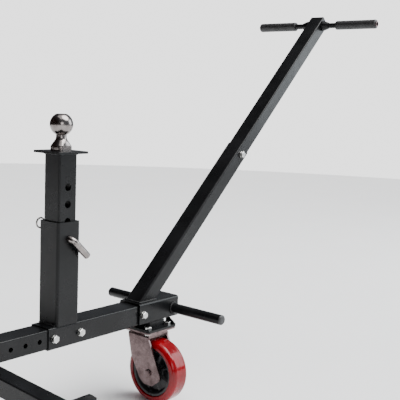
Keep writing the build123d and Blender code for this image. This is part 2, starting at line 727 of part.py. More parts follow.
# ================= swivel caster: fork and wheel =================
with BuildPart() as fork:
    with BuildSketch(Plane(origin=(swivel_x, -150, 0), x_dir=(1, 0, 0), z_dir=(0, -1, 0))):
        with BuildLine():
            FilletPolyline(
                (-fork_out, floor_z), (-fork_out, crown_top), (fork_out, crown_top), (fork_out, floor_z),
                radius=7.0)
            Line((fork_out, floor_z), (fork_in, floor_z))
            FilletPolyline(
                (fork_in, floor_z), (fork_in, crown_bottom), (-fork_in, crown_bottom), (-fork_in, floor_z),
                radius=2.0)
            Line((-fork_in, floor_z), (-fork_out, floor_z))
        make_face()
    extrude(amount=-300)
    leg_foot_z = caster_axle_z - 31
    with BuildSketch(Plane(origin=(swivel_x, 0, 0), x_dir=(0, 1, 0), z_dir=(1, 0, 0))):
        with BuildLine():
            Polyline(
                (34, crown_top), (34, crown_top - 8), (22, caster_axle_z + 34),
                (-trail + 29, caster_axle_z - 18), (-trail + 13, leg_foot_z), (-trail - 15, leg_foot_z),
                (-trail - 44, caster_axle_z - 8),
                (-36, crown_top - 12), (-36, crown_top), (34, crown_top))
        make_face()
        fillet(vertices().sort_by(Axis.Y)[:4], 13.0)
    extrude(amount=fork_out + 1, both=True, mode=Mode.INTERSECT)
    with BuildSketch(Plane.XY.offset(crown_top)):
        with Locations((swivel_x, 0)):
            Circle(kingpin_d / 2 + kingpin_gap)
    extrude(amount=-2 * fork_t, mode=Mode.SUBTRACT)
    with BuildSketch(Plane(origin=(swivel_x, -trail, caster_axle_z), x_dir=(0, 1, 0), z_dir=(1, 0, 0))):
        Circle(m12_d / 2 + 0.2)
    extrude(amount=fork_out + 1, both=True, mode=Mode.SUBTRACT)
save(fork.part, "caster_fork")


def axle_plane(x, out):
    """Plane across the caster axle at a distance x from the swivel axis, facing out (-1 or 1) along X."""
    return Plane(origin=(swivel_x + x, -trail, caster_axle_z), x_dir=(0, out, 0), z_dir=(out, 0, 0))


with BuildPart() as caster_axle:
    with BuildSketch(axle_plane(-fork_out, -1)):
        Circle(9.5)
    extrude(amount=5.0)
    fillet(caster_axle.edges().group_by(Axis.X)[0], 2.2)
    with BuildSketch(axle_plane(-fork_out, 1)):
        Circle(m12_d / 2)
    extrude(amount=2 * fork_out + m12_nut_h + thread_out)
save(caster_axle.part, "caster_axle_bolt")

with BuildPart() as caster_axle_nut:
    with BuildSketch(axle_plane(fork_out, 1)):
        RegularPolygon(m12_nut_af / 2, 6, major_radius=False)
        Circle(m12_d / 2 + fit_gap, mode=Mode.SUBTRACT)
    extrude(amount=m12_nut_h)
save(caster_axle_nut.part, "caster_axle_nut")

with BuildPart() as axle_bush:
    with BuildSketch(axle_plane(-fork_in, 1)):
        Circle(bush_d / 2)
        Circle(m12_d / 2 + fit_gap, mode=Mode.SUBTRACT)
    extrude(amount=2 * fork_in)
save(axle_bush.part, "caster_axle_bush")

hub_half = caster_w / 2 + 1.0
with BuildPart() as caster_bearings:
    for bearing_side in (-1, 1):
        with BuildSketch(axle_plane(bearing_side * (hub_half - 14), bearing_side)):
            Circle(caster_bearing_d / 2 - fit_gap)
            Circle(bush_d / 2 + run_gap, mode=Mode.SUBTRACT)
        extrude(amount=13)
save(caster_bearings.part, "caster_wheel_bearings")

with BuildPart() as caster_core:
    with BuildSketch(Plane(origin=(swivel_x, -trail, caster_axle_z), x_dir=(1, 0, 0), z_dir=(0, -1, 0))):
        rim_half = caster_w / 2 - 3
        with BuildLine():
            core_r = core_d / 2
            hub_r = hub_d / 2
            Polyline(
                (-hub_half, caster_bearing_d / 2), (-hub_half, hub_r - 2), (-hub_half + 2, hub_r),
                (-9, hub_r + 3), (-7, core_r - 11), (-rim_half, core_r - 6), (-rim_half, core_r),
                (rim_half, core_r), (rim_half, core_r - 6), (7, core_r - 11), (9, hub_r + 3),
                (hub_half - 2, hub_r), (hub_half, hub_r - 2), (hub_half, caster_bearing_d / 2),
                (-hub_half, caster_bearing_d / 2))
        make_face()
    revolve(axis=Axis((swivel_x, -trail, caster_axle_z), (1, 0, 0)))
save(caster_core.part, "caster_wheel_core")

with BuildPart() as caster_tread:
    with BuildSketch(Plane(origin=(swivel_x, -trail, caster_axle_z), x_dir=(1, 0, 0), z_dir=(0, -1, 0))):
        half_w = caster_w / 2
        with BuildLine():
            shoulder_r = caster_r - tread_shoulder
            flat_half = half_w - tread_shoulder
            Polyline(
                (-half_w, shoulder_r), (-half_w, core_d / 2 + 1.5), (-half_w + 1.5, core_d / 2),
                (half_w - 1.5, core_d / 2), (half_w, core_d / 2 + 1.5), (half_w, shoulder_r))
            TangentArc((half_w, shoulder_r), (flat_half, caster_r), tangent=(0, 1))
            Line((flat_half, caster_r), (-flat_half, caster_r))
            TangentArc((-flat_half, caster_r), (-half_w, shoulder_r), tangent=(-1, 0))
        make_face()
    revolve(axis=Axis((swivel_x, -trail, caster_axle_z), (1, 0, 0)))
save(caster_tread.part, "caster_tread")

# ================= rear axle =================
slope = math.radians(arm_slope)


def arm_top(y):
    """Height of the arms' upper face at a distance y from the middle."""
    return inner_beam_bottom - axle_weld_root - abs(y) * math.tan(slope)


with BuildPart() as axle_arms:
    for side in (-1, 1):
        arm_dir = Vector(0, side * math.cos(slope), -math.sin(slope))
        arm_middle_z = arm_top(0) - arm_size / 2 / math.cos(slope)
        arm_start = Plane(origin=(axle_x, 0, arm_middle_z), x_dir=(1, 0, 0), z_dir=arm_dir)
        with BuildSketch(arm_start):
            add(rect_tube(arm_size, arm_size, arm_wall, 3.5))
        extrude(amount=hanger_y + 60)
    arm_reach = 2 * hanger_y + 200
    with BuildSketch(Plane.XY.offset(floor_z)):
        with Locations((axle_x, 0)):
            Rectangle(arm_reach, 2 * hanger_y)
    extrude(amount=ball_height, mode=Mode.INTERSECT)
save(axle_arms.part, "axle_arms")

with BuildPart() as axle_weld:
    weld_in = inner_beam_w / 2 - 3
    weld_out = inner_beam_w / 2 + 6
    with BuildSketch(Plane(origin=(axle_x, 0, 0), x_dir=(0, 1, 0), z_dir=(1, 0, 0))):
        with BuildLine():
            Polyline((0, arm_top(0)), (weld_out, arm_top(weld_out)), (weld_in, inner_beam_bottom),
                     (-weld_in, inner_beam_bottom), (-weld_out, arm_top(weld_out)), (0, arm_top(0)))
        make_face()
    extrude(amount=arm_size / 2 - 3, both=True)

with BuildPart() as weld_beads:
    for bead in (post_top_weld, post_base_weld, handle_weld, cross_welds, axle_weld):
        add(bead.part)
save(weld_beads.part, "weld_beads")

with BuildPart() as hangers:
    for side in (-1, 1):
        with BuildSketch(Plane(origin=(axle_x, side * hanger_y, 0), x_dir=(1, 0, 0), z_dir=(0, -1, 0))):
            with BuildLine():
                half = hanger_w / 2
                Polyline((-half, hanger_top - 9), (-half + 12, hanger_top), (half - 12, hanger_top),
                         (half, hanger_top - 9), (half, rear_axle_z), (half - 12, rear_axle_z - 24),
                         (-half + 12, rear_axle_z - 24), (-half, rear_axle_z), (-half, hanger_top - 9))
            make_face()
            with Locations((0, rear_axle_z)):
                Circle(spindle_d / 2 + fit_gap, mode=Mode.SUBTRACT)
        extrude(amount=-side * hanger_t)
save(hangers.part, "axle_hanger_plates")

spindle_end_y = rear_in_y + rear_w + spindle_washer_t + 1.0
with BuildPart() as spindles:
    for side in (-1, 1):
        with BuildSketch(side_plane(axle_x, side * hanger_y, rear_axle_z, -side)):
            RegularPolygon(spindle_af / 2, 6, major_radius=False)
        extrude(amount=spindle_head_h)
        with BuildSketch(side_plane(axle_x, side * hanger_y, rear_axle_z, side)):
            Circle(spindle_d / 2)
        extrude(amount=spindle_end_y + spindle_nut_h + thread_out - hanger_y)
save(spindles.part, "rear_spindles")

with BuildPart() as spindle_nuts:
    for side in (-1, 1):
        with BuildSketch(side_plane(axle_x, side * spindle_end_y, rear_axle_z, side)):
            RegularPolygon(spindle_af / 2, 6, major_radius=False)
            Circle(spindle_d / 2 + fit_gap, mode=Mode.SUBTRACT)
        extrude(amount=spindle_nut_h)
save(spindle_nuts.part, "rear_spindle_nuts")

with BuildPart() as spindle_washers:
    for side in (-1, 1):
        inner_washer = (hanger_y + hanger_t, rear_wheel_gap - 1.0)
        outer_washer = (spindle_end_y - spindle_washer_t, spindle_washer_t)
        for face_y, thick in (inner_washer, outer_washer):
            with BuildSketch(side_plane(axle_x, side * face_y, rear_axle_z, side)):
                Circle(spindle_washer_d / 2)
                Circle(spindle_d / 2 + fit_gap, mode=Mode.SUBTRACT)
            extrude(amount=thick)
save(spindle_washers.part, "rear_spindle_washers")

for side, side_name in ((-1, "near"), (1, "far")):
    wheel_axis = Axis((axle_x, side * rear_mid_y, rear_axle_z), (0, 1, 0))
    wheel_plane = Plane(origin=(axle_x, side * rear_mid_y, rear_axle_z), x_dir=(0, 1, 0), z_dir=(1, 0, 0))
    hub = rear_w / 2
    with BuildPart() as rear_rim:
        with BuildSketch(wheel_plane):
            with BuildLine():
                rim_in = hub - 3
                Polyline((-hub, rear_bearing_d / 2), (-hub, rear_hub_d / 2), (-5, rear_hub_d / 2 + 3),
                         (-5, rear_rim_d / 2 - 12), (-rim_in, rear_rim_d / 2 - 7), (-rim_in, rear_rim_d / 2),
                         (rim_in, rear_rim_d / 2), (rim_in, rear_rim_d / 2 - 7), (5, rear_rim_d / 2 - 12),
                         (5, rear_hub_d / 2 + 3), (hub, rear_hub_d / 2), (hub, rear_bearing_d / 2),
                         (-hub, rear_bearing_d / 2))
            make_face()
        revolve(axis=wheel_axis)
        with BuildSketch(side_plane(axle_x, side * rear_mid_y, rear_axle_z, 1)):
            with PolarLocations((rear_rim_d + rear_hub_d - 18) / 4, 5):
                Circle(8)
        extrude(amount=8, both=True, mode=Mode.SUBTRACT)
    save(rear_rim.part, f"rear_rim_{side_name}")
    with BuildPart() as rear_tyre:
        with BuildSketch(wheel_plane):
            with BuildLine():
                shoulder = 10.0
                Polyline((-hub, rear_r - shoulder), (-hub, rear_rim_d / 2 + 2), (-hub + 2, rear_rim_d / 2),
                         (hub - 2, rear_rim_d / 2), (hub, rear_rim_d / 2 + 2), (hub, rear_r - shoulder))
                TangentArc((hub, rear_r - shoulder), (hub - shoulder, rear_r), tangent=(0, 1))
                Line((hub - shoulder, rear_r), (-hub + shoulder, rear_r))
                TangentArc((-hub + shoulder, rear_r), (-hub, rear_r - shoulder), tangent=(-1, 0))
            make_face()
        revolve(axis=wheel_axis)
        for groove in (-8, 8):
            with BuildSketch(wheel_plane):
                with Locations((groove, rear_r)):
                    Rectangle(3, 6)
            revolve(axis=wheel_axis, mode=Mode.SUBTRACT)
    save(rear_tyre.part, f"rear_tyre_{side_name}")
    with BuildPart() as rear_bearings:
        for end in (-1, 1):
            bearing_y = side * rear_mid_y + end * (hub - rear_bearing_w)
            with BuildSketch(side_plane(axle_x, bearing_y, rear_axle_z, end)):
                Circle(rear_bearing_d / 2 - fit_gap)
                Circle(spindle_d / 2 + run_gap, mode=Mode.SUBTRACT)
            extrude(amount=rear_bearing_w)
    save(rear_bearings.part, f"rear_bearings_{side_name}")
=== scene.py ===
"""Trailer dolly with a swivel jack wheel: the looks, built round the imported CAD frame.

Every length is in metres in the row's frame: the origin is the centre of the hitch ball, +X runs along the
beam towards the caster, -Y is the side of the hitch pin's bent leg, and +Z is up.
"""

import json
import logging
import math
from dataclasses import dataclass, field
from enum import Enum

import bmesh
import bpy
import numpy as np
from mathutils import Matrix, Vector

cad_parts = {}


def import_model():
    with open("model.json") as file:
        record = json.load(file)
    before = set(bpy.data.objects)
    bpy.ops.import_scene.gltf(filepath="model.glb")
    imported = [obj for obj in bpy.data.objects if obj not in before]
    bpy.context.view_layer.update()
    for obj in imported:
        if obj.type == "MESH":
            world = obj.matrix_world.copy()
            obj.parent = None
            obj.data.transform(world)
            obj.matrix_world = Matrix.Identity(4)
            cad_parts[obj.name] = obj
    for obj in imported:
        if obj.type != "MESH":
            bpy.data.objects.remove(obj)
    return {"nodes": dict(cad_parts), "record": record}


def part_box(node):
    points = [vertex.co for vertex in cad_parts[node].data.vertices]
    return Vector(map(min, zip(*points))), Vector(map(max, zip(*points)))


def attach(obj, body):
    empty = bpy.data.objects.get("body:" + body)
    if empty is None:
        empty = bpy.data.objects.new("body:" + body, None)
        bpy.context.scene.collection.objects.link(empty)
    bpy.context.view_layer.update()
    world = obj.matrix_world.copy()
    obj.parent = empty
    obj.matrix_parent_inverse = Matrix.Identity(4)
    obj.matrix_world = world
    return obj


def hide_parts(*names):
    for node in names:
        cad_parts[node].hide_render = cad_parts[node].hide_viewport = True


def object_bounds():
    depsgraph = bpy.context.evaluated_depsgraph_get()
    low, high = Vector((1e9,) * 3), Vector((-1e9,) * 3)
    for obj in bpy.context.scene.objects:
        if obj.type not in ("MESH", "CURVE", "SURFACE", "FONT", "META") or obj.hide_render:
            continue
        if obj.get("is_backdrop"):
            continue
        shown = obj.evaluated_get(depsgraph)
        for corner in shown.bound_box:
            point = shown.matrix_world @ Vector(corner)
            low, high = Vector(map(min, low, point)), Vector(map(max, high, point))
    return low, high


log = logging.getLogger("dolly")
MM = 0.001


class Body(Enum):
    """The rigid bodies that pieces ride on."""

    CHASSIS = "chassis"
    SWIVEL = "caster_swivel"
    CASTER_WHEEL = "caster_wheel"
    REAR_NEAR = "rear_wheel_near"
    REAR_FAR = "rear_wheel_far"
    PIN = "hitch_pin"


class AxisName(Enum):
    """The row axis that a turned piece is made round."""

    X = 0
    Y = 1
    Z = 2


# ---------------------------------------------------------------- boxes


@dataclass(frozen=True)
class NodeBox:
    """Lowest and highest corner of a CAD node at rest, with the sizes that pieces are placed by."""

    low: np.ndarray
    high: np.ndarray

    @classmethod
    def of(cls, node: str) -> "NodeBox":
        """Read a node's box.

        Args:
            node: name of the CAD node.

        Returns:
            The node's box.
        """
        low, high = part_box(node)
        return cls(np.array(low), np.array(high))

    @property
    def middle(self) -> np.ndarray:
        """Centre of the box."""
        return (self.low + self.high) / 2

    @property
    def size(self) -> np.ndarray:
        """Lengths of the box's sides."""
        return self.high - self.low


# ---------------------------------------------------------------- finishes


class NodeTree:
    """A material's node tree, with short calls for the nodes that the finishes share."""

    def __init__(self, name: str) -> None:
        """Make an empty material with a Principled shader.

        Args:
            name: the material's name.
        """
        self.material = bpy.data.materials.new(name)
        self.material.use_nodes = True
        self.tree = self.material.node_tree
        self.shader = self.tree.nodes["Principled BSDF"]
        self.coords = self.tree.nodes.new("ShaderNodeTexCoord")

    def set(self, **sockets: float | tuple) -> None:
        """Set constants on the shader's own sockets.

        Args:
            sockets: socket names with underscores for spaces, and their values.
        """
        for key, value in sockets.items():
            self.shader.inputs[key.replace("_", " ")].default_value = value

    def noise(self, scale: float, detail: float = 4.0, rough: float = 0.55,
              stretch: tuple[float, float, float] = (1, 1, 1)) -> bpy.types.NodeSocket:
        """Add fractal noise on object coordinates.

        Args:
            scale: repeats in a metre.
            detail: octaves.
            rough: weight of the finer octaves.
            stretch: scale along each axis.

        Returns:
            The noise's factor socket.
        """
        place = self.tree.nodes.new("ShaderNodeMapping")
        place.inputs["Scale"].default_value = stretch
        node = self.tree.nodes.new("ShaderNodeTexNoise")
        node.inputs["Scale"].default_value = scale
        node.inputs["Detail"].default_value = detail
        node.inputs["Roughness"].default_value = rough
        self.tree.links.new(self.coords.outputs["Object"], place.inputs["Vector"])
        self.tree.links.new(place.outputs["Vector"], node.inputs["Vector"])
        return node.outputs["Fac"]

    def ramp(self, factor: bpy.types.NodeSocket, low: float, high: float,
             a: float, b: float) -> bpy.types.NodeSocket:
        """Map a factor from one range to another, clamped.

        Args:
            factor: the incoming socket.
            low: factor that gives a.
            high: factor that gives b.
            a: value at low.
            b: value at high.

        Returns:
            The mapped socket.
        """
        node = self.tree.nodes.new("ShaderNodeMapRange")
        for key, value in (("From Min", low), ("From Max", high), ("To Min", a), ("To Max", b)):
            node.inputs[key].default_value = value
        self.tree.links.new(factor, node.inputs["Value"])
        return node.outputs["Result"]

    def blend(self, factor: bpy.types.NodeSocket, a: tuple, b: tuple) -> bpy.types.NodeSocket:
        """Mix two colours by a factor.

        Args:
            factor: 0 gives a and 1 gives b.
            a: first colour.
            b: second colour.

        Returns:
            The colour socket.
        """
        node = self.tree.nodes.new("ShaderNodeMix")
        node.data_type = "RGBA"
        node.inputs[6].default_value = (*a, 1)
        node.inputs[7].default_value = (*b, 1)
        self.tree.links.new(factor, node.inputs["Factor"])
        return node.outputs[2]

    def colour(self, socket: bpy.types.NodeSocket) -> None:
        """Link a socket to the base colour."""
        self.tree.links.new(socket, self.shader.inputs["Base Color"])

    def roughness(self, socket: bpy.types.NodeSocket) -> None:
        """Link a socket to the roughness."""
        self.tree.links.new(socket, self.shader.inputs["Roughness"])

    def bump(self, height: bpy.types.NodeSocket, strength: float, distance: float) -> None:
        """Link a height to the shader's normal.

        Args:
            height: the height socket.
            strength: bump strength.
            distance: height of a full step, in metres.
        """
        node = self.tree.nodes.new("ShaderNodeBump")
        node.inputs["Strength"].default_value = strength
        node.inputs["Distance"].default_value = distance
        self.tree.links.new(height, node.inputs["Height"])
        self.tree.links.new(node.outputs["Normal"], self.shader.inputs["Normal"])


@dataclass(frozen=True)
class PowderCoat:
    """Semi-gloss black powder coat: orange-peel skin, dusty patches and a thin coat on top."""

    name: str = "black_powder_coat"
    dark: tuple = (0.0025, 0.0027, 0.003)
    pale: tuple = (0.008, 0.0082, 0.009)
    gloss: tuple = (0.24, 0.36)
    peel: float = 420.0

    def make(self) -> bpy.types.Material:
        """Build the material."""
        tree = NodeTree(self.name)
        patches = tree.noise(9.0, 5.0)
        tree.colour(tree.blend(tree.ramp(patches, 0.35, 0.7, 0, 1), self.dark, self.pale))
        tree.roughness(tree.ramp(tree.noise(26.0, 4.0), 0.3, 0.7, *self.gloss))
        tree.bump(tree.noise(self.peel, 2.0), 0.07, 0.0006)
        tree.set(Coat_Weight=0.04, Coat_Roughness=0.16, Specular_IOR_Level=0.19)
        return tree.material


@dataclass(frozen=True)
class Plating:
    """Plated steel: metal with cloudy tone, fine drawn scratches and uneven gloss."""

    name: str = "bright_zinc"
    dark: tuple = (0.50, 0.51, 0.53)
    pale: tuple = (0.74, 0.75, 0.77)
    gloss: tuple = (0.16, 0.30)
    drawn: tuple = (1.0, 1.0, 6.0)

    def make(self) -> bpy.types.Material:
        """Build the material."""
        tree = NodeTree(self.name)
        tree.colour(tree.blend(tree.ramp(tree.noise(55.0, 6.0), 0.3, 0.72, 0, 1), self.dark, self.pale))
        tree.roughness(tree.ramp(tree.noise(120.0, 5.0, 0.6, self.drawn), 0.3, 0.7, *self.gloss))
        tree.bump(tree.noise(700.0, 3.0, 0.6, self.drawn), 0.05, 0.0003)
        tree.set(Metallic=1.0)
        return tree.material


@dataclass(frozen=True)
class Polyurethane:
    """Cast red polyurethane: deep gloss with faint flow marks."""

    name: str = "red_polyurethane"
    dark: tuple = (0.13, 0.0008, 0.003)
    pale: tuple = (0.24, 0.0015, 0.006)

    def make(self) -> bpy.types.Material:
        """Build the material."""
        tree = NodeTree(self.name)
        tree.colour(tree.blend(tree.ramp(tree.noise(22.0, 4.0), 0.3, 0.75, 0, 1), self.dark, self.pale))
        tree.roughness(tree.ramp(tree.noise(90.0, 3.0), 0.3, 0.7, 0.10, 0.18))
        tree.bump(tree.noise(160.0, 2.0), 0.05, 0.0004)
        tree.set(Coat_Weight=0.28, Coat_Roughness=0.04, Specular_IOR_Level=0.18)
        return tree.material


@dataclass(frozen=True)
class Moulding:
    """Dark moulding or rubber: matt skin with a fine moulded grain."""

    name: str
    dark: tuple = (0.010, 0.010, 0.011)
    pale: tuple = (0.026, 0.026, 0.028)
    gloss: tuple = (0.38, 0.55)
    grain: float = 1400.0
    depth: float = 0.12

    def make(self) -> bpy.types.Material:
        """Build the material."""
        tree = NodeTree(self.name)
        tree.colour(tree.blend(tree.ramp(tree.noise(40.0, 5.0), 0.3, 0.7, 0, 1), self.dark, self.pale))
        tree.roughness(tree.ramp(tree.noise(60.0, 4.0), 0.3, 0.7, *self.gloss))
        tree.bump(tree.noise(self.grain, 2.0), self.depth, 0.0003)
        return tree.material


class Paint(Enum):
    """The object's finishes, by the record's material slot."""

    FRAME_BLACK = "frame_black"
    BRIGHT_ZINC = "bright_zinc"
    BALL_ZINC = "ball_zinc"
    FASTENERS = "zinc_fasteners"
    BEARING = "bearing_steel"
    RED_TREAD = "red_tread"
    BLACK_CORE = "black_core"
    BLACK_PLASTIC = "black_plastic"
    GRIP = "grip_rubber"
    TYRE = "rear_tyre"
    RIM = "rim_grey"


@dataclass
class PaintShop:
    """Makes each finish once and hands it out by slot."""

    made: dict[str, bpy.types.Material] = field(default_factory=dict)

    def recipes(self) -> dict[str, object]:
        """Return the recipe of each slot."""
        return {
            Paint.FRAME_BLACK.value: PowderCoat(),
            # bright_zinc: its dark reddish tone is a painted reflection of red surroundings, not the plating's
            # own grey colour
            Paint.BRIGHT_ZINC.value: Plating(
                "bright_zinc", (0.10, 0.070, 0.070), (0.21, 0.155, 0.155), (0.18, 0.32)),
            Paint.BALL_ZINC.value: Plating(
                "ball_zinc", (0.17, 0.15, 0.145), (0.30, 0.275, 0.265), (0.14, 0.26)),
            Paint.FASTENERS.value: Plating(
                "fastener_zinc", (0.42, 0.42, 0.41), (0.64, 0.64, 0.62), (0.20, 0.34)),
            Paint.BEARING.value: Plating(
                "bearing_steel", (0.45, 0.45, 0.46), (0.62, 0.62, 0.63), (0.12, 0.2)),
            Paint.RED_TREAD.value: Polyurethane(),
            Paint.BLACK_CORE.value: Moulding(
                "core_black", (0.008, 0.008, 0.009), (0.016, 0.016, 0.018), (0.25, 0.4)),
            Paint.BLACK_PLASTIC.value: Moulding("black_plastic"),
            Paint.GRIP.value: Moulding(
                "grip_rubber", (0.008, 0.008, 0.009), (0.02, 0.02, 0.021), (0.45, 0.62), 900.0, 0.25),
            Paint.TYRE.value: Moulding(
                "tyre_rubber", (0.012, 0.012, 0.013), (0.03, 0.029, 0.028), (0.55, 0.75), 700.0, 0.3),
            Paint.RIM.value: PowderCoat("rim_paint", (0.22, 0.225, 0.23), (0.3, 0.3, 0.31), (0.3, 0.42)),
        }

    def get(self, slot: Paint | str) -> bpy.types.Material:
        """Return a slot's material, making it the first time.

        Args:
            slot: the slot or its name.

        Returns:
            The material.
        """
        name = slot.value if isinstance(slot, Paint) else slot
        if name not in self.made:
            self.made[name] = self.recipes()[name].make()
        return self.made[name]


# ---------------------------------------------------------------- surfaces


def rounded(corners: list[tuple[float, float]], radius: float | list[float], steps: int = 6,
            closed: bool = True) -> np.ndarray:
    """Round an outline's corners: each corner becomes a quadratic curve between two points on its sides.

    The curve is (1-t)^2 A + 2t(1-t) P + t^2 B, where P is the corner and A and B lie on its sides at the
    radius, or at 0.45 of the side if that is shorter.

    Args:
        corners: the outline's corners.
        radius: one radius for all corners, or one for each.
        steps: points of each curve.
        closed: whether the outline closes on itself; the ends of an open one stay sharp.

    Returns:
        Points of the rounded outline, one row each.
    """
    p = np.asarray(corners, dtype=float)
    before = np.roll(p, 1, axis=0) - p
    after = np.roll(p, -1, axis=0) - p
    len_b = np.linalg.norm(before, axis=1, keepdims=True)
    len_a = np.linalg.norm(after, axis=1, keepdims=True)
    r = np.broadcast_to(np.asarray(radius, dtype=float), (len(p),)).copy()
    if not closed:
        r[0] = r[-1] = 0.0
    a = p + before / np.maximum(len_b, 1e-12) * np.minimum(r[:, None], 0.45 * len_b)
    b = p + after / np.maximum(len_a, 1e-12) * np.minimum(r[:, None], 0.45 * len_a)
    t = np.linspace(0, 1, steps)[None, :, None]
    curve = (1 - t) ** 2 * a[:, None] + 2 * t * (1 - t) * p[:, None] + t ** 2 * b[:, None]
    flat = curve.reshape(-1, 2)
    keep = np.r_[True, np.linalg.norm(np.diff(flat, axis=0), axis=1) > 1e-7]
    flat = flat[keep]
    if closed and np.linalg.norm(flat[0] - flat[-1]) < 1e-7:
        flat = flat[:-1]
    return flat


def grid_object(name: str, points: np.ndarray, wrap_rows: bool, wrap_columns: bool,
                sharp: float = 32.0, lids: bool = True) -> bpy.types.Object:
    """Make a mesh object from a grid of points, merge its poles and turn its faces outwards.

    Args:
        name: the piece's name.
        points: array of rows by columns by 3.
        wrap_rows: whether the last row joins the first.
        wrap_columns: whether the last column joins the first.
        sharp: edges that turn more than this many degrees stay sharp.
        lids: whether open ends are closed.

    Returns:
        The object, linked to the scene.
    """
    rows, columns = points.shape[:2]
    i = np.arange(rows if wrap_rows else rows - 1)
    j = np.arange(columns if wrap_columns else columns - 1)
    ii, jj = np.meshgrid(i, j, indexing="ij")
    at = lambda r, c: (r % rows) * columns + c % columns
    quads = np.stack([at(ii, jj), at(ii + 1, jj), at(ii + 1, jj + 1), at(ii, jj + 1)], axis=-1).reshape(-1, 4)
    mesh = bpy.data.meshes.new(name)
    mesh.from_pydata(points.reshape(-1, 3), [], quads)
    shape = bmesh.new()
    shape.from_mesh(mesh)
    bmesh.ops.remove_doubles(shape, verts=shape.verts, dist=1e-6)
    if lids:
        bmesh.ops.holes_fill(shape, edges=shape.edges, sides=0)
    bmesh.ops.recalc_face_normals(shape, faces=shape.faces)
    shape.to_mesh(mesh)
    shape.free()
    mesh.shade_smooth()
    mesh.set_sharp_from_angle(angle=math.radians(sharp))
    piece = bpy.data.objects.new(name, mesh)
    bpy.context.scene.collection.objects.link(piece)
    return piece


def turned(name: str, outline: np.ndarray, centre: np.ndarray, axis: AxisName, segments: int = 96,
           closed: bool = True) -> bpy.types.Object:
    """Turn an outline round an axis: point (h, r) goes to h along the axis and r from it at every angle.

    Args:
        name: the piece's name.
        outline: rows of (distance along the axis, radius).
        centre: point on the axis that distances count from.
        axis: direction of the axis.
        segments: steps round the axis.
        closed: whether the outline closes on itself, as a ring's does.

    Returns:
        The object.
    """
    angle = np.linspace(0, 2 * math.pi, segments, endpoint=False)
    along, radius = outline[:, 0][:, None], outline[:, 1][:, None]
    u, v = radius * np.cos(angle)[None, :], radius * np.sin(angle)[None, :]
    w = np.broadcast_to(along, u.shape)
    order = {AxisName.X: (w, u, v), AxisName.Y: (v, w, u), AxisName.Z: (u, v, w)}[axis]
    return grid_object(name, np.stack(order, axis=-1) + centre, closed, True)


def swept(name: str, path: np.ndarray, radius: np.ndarray | float, normal: tuple[float, float, float],
          loop: bool = False, sides: int = 20) -> bpy.types.Object:
    """Carry a circle along a flat path: ring i is path[i] + r (cos a * side + sin a * normal).

    Args:
        name: the piece's name.
        path: rows of points in one plane.
        radius: the circle's radius, one or one for each point.
        normal: unit normal of the path's plane.
        loop: whether the path closes on itself.
        sides: points round the circle.

    Returns:
        The object.
    """
    ahead = np.roll(path, -1, axis=0) - np.roll(path, 1, axis=0)
    if not loop:
        ahead[0], ahead[-1] = path[1] - path[0], path[-1] - path[-2]
    ahead /= np.linalg.norm(ahead, axis=1, keepdims=True)
    up = np.asarray(normal, dtype=float)[None, :]
    side = np.cross(ahead, up)
    a = np.linspace(0, 2 * math.pi, sides, endpoint=False)[None, :, None]
    r = np.broadcast_to(np.asarray(radius, dtype=float), (len(path),))[:, None, None]
    rings = path[:, None] + r * (np.cos(a) * side[:, None] + np.sin(a) * up[None])
    if not loop:
        first, last = (np.repeat(path[i, None, None], sides, 1) for i in (0, -1))
        rings = np.concatenate([first, rings, last])
    return grid_object(name, rings, loop, True, 50.0)


def rippled(path: np.ndarray, size: float, pitch: float, depth: float, seed: int) -> np.ndarray:
    """Work out a weld bead's radius along its path: scallops one pitch long, with a little unevenness.

    The radius is size * (1 - depth + depth * |sin(pi s / pitch)|^0.7) plus slow seeded noise.

    Args:
        path: the bead's centre line.
        size: the bead's radius.
        pitch: length of one scallop.
        depth: share of the radius that a scallop takes.
        seed: seed of the unevenness.

    Returns:
        The radius at each point of the path.
    """
    step = np.linalg.norm(np.diff(path, axis=0, prepend=path[:1]), axis=1)
    s = np.cumsum(step)
    slow = np.random.default_rng(seed).normal(0, 1, 9)
    wave = np.interp(s, np.linspace(0, s[-1], 9), slow)
    return size * (1 - depth + depth * np.abs(np.sin(math.pi * s / pitch)) ** 0.7 + 0.03 * wave)


def loop_path(outline: np.ndarray, z: float, samples: int) -> np.ndarray:
    """Space points evenly round a flat outline at one height.

    Args:
        outline: rows of (x, y).
        z: height.
        samples: number of points.

    Returns:
        Rows of (x, y, z).
    """
    shut = np.vstack([outline, outline[:1]])
    s = np.r_[0, np.cumsum(np.linalg.norm(np.diff(shut, axis=0), axis=1))]
    at = np.linspace(0, s[-1], samples, endpoint=False)
    return np.stack([np.interp(at, s, shut[:, 0]), np.interp(at, s, shut[:, 1]), np.full(samples, z)], axis=1)


def rectangle(cx: float, cy: float, half_x: float, half_y: float, radius: float) -> np.ndarray:
    """Return a rounded rectangle's outline, anticlockwise."""
    return rounded([(cx - half_x, cy - half_y), (cx + half_x, cy - half_y), (cx + half_x, cy + half_y),
                    (cx - half_x, cy + half_y)], radius)


# ---------------------------------------------------------------- assemblies


@dataclass
class Assembly:
    """A group of pieces that share a paint shop."""

    shop: PaintShop

    def dress(self, piece: bpy.types.Object, slot: Paint, body: Body, *nodes: str) -> bpy.types.Object:
        """Paint a piece, make it ride on its body and let it stand for CAD nodes.

        Args:
            piece: the new piece.
            slot: its finish.
            body: the body it rides on.
            nodes: CAD nodes that it stands for.

        Returns:
            The piece.
        """
        piece.data.materials.append(self.shop.get(slot))
        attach(piece, body.value)
        if nodes:
            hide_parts(*nodes)
        log.info("%s on %s", piece.name, body.value)
        return piece


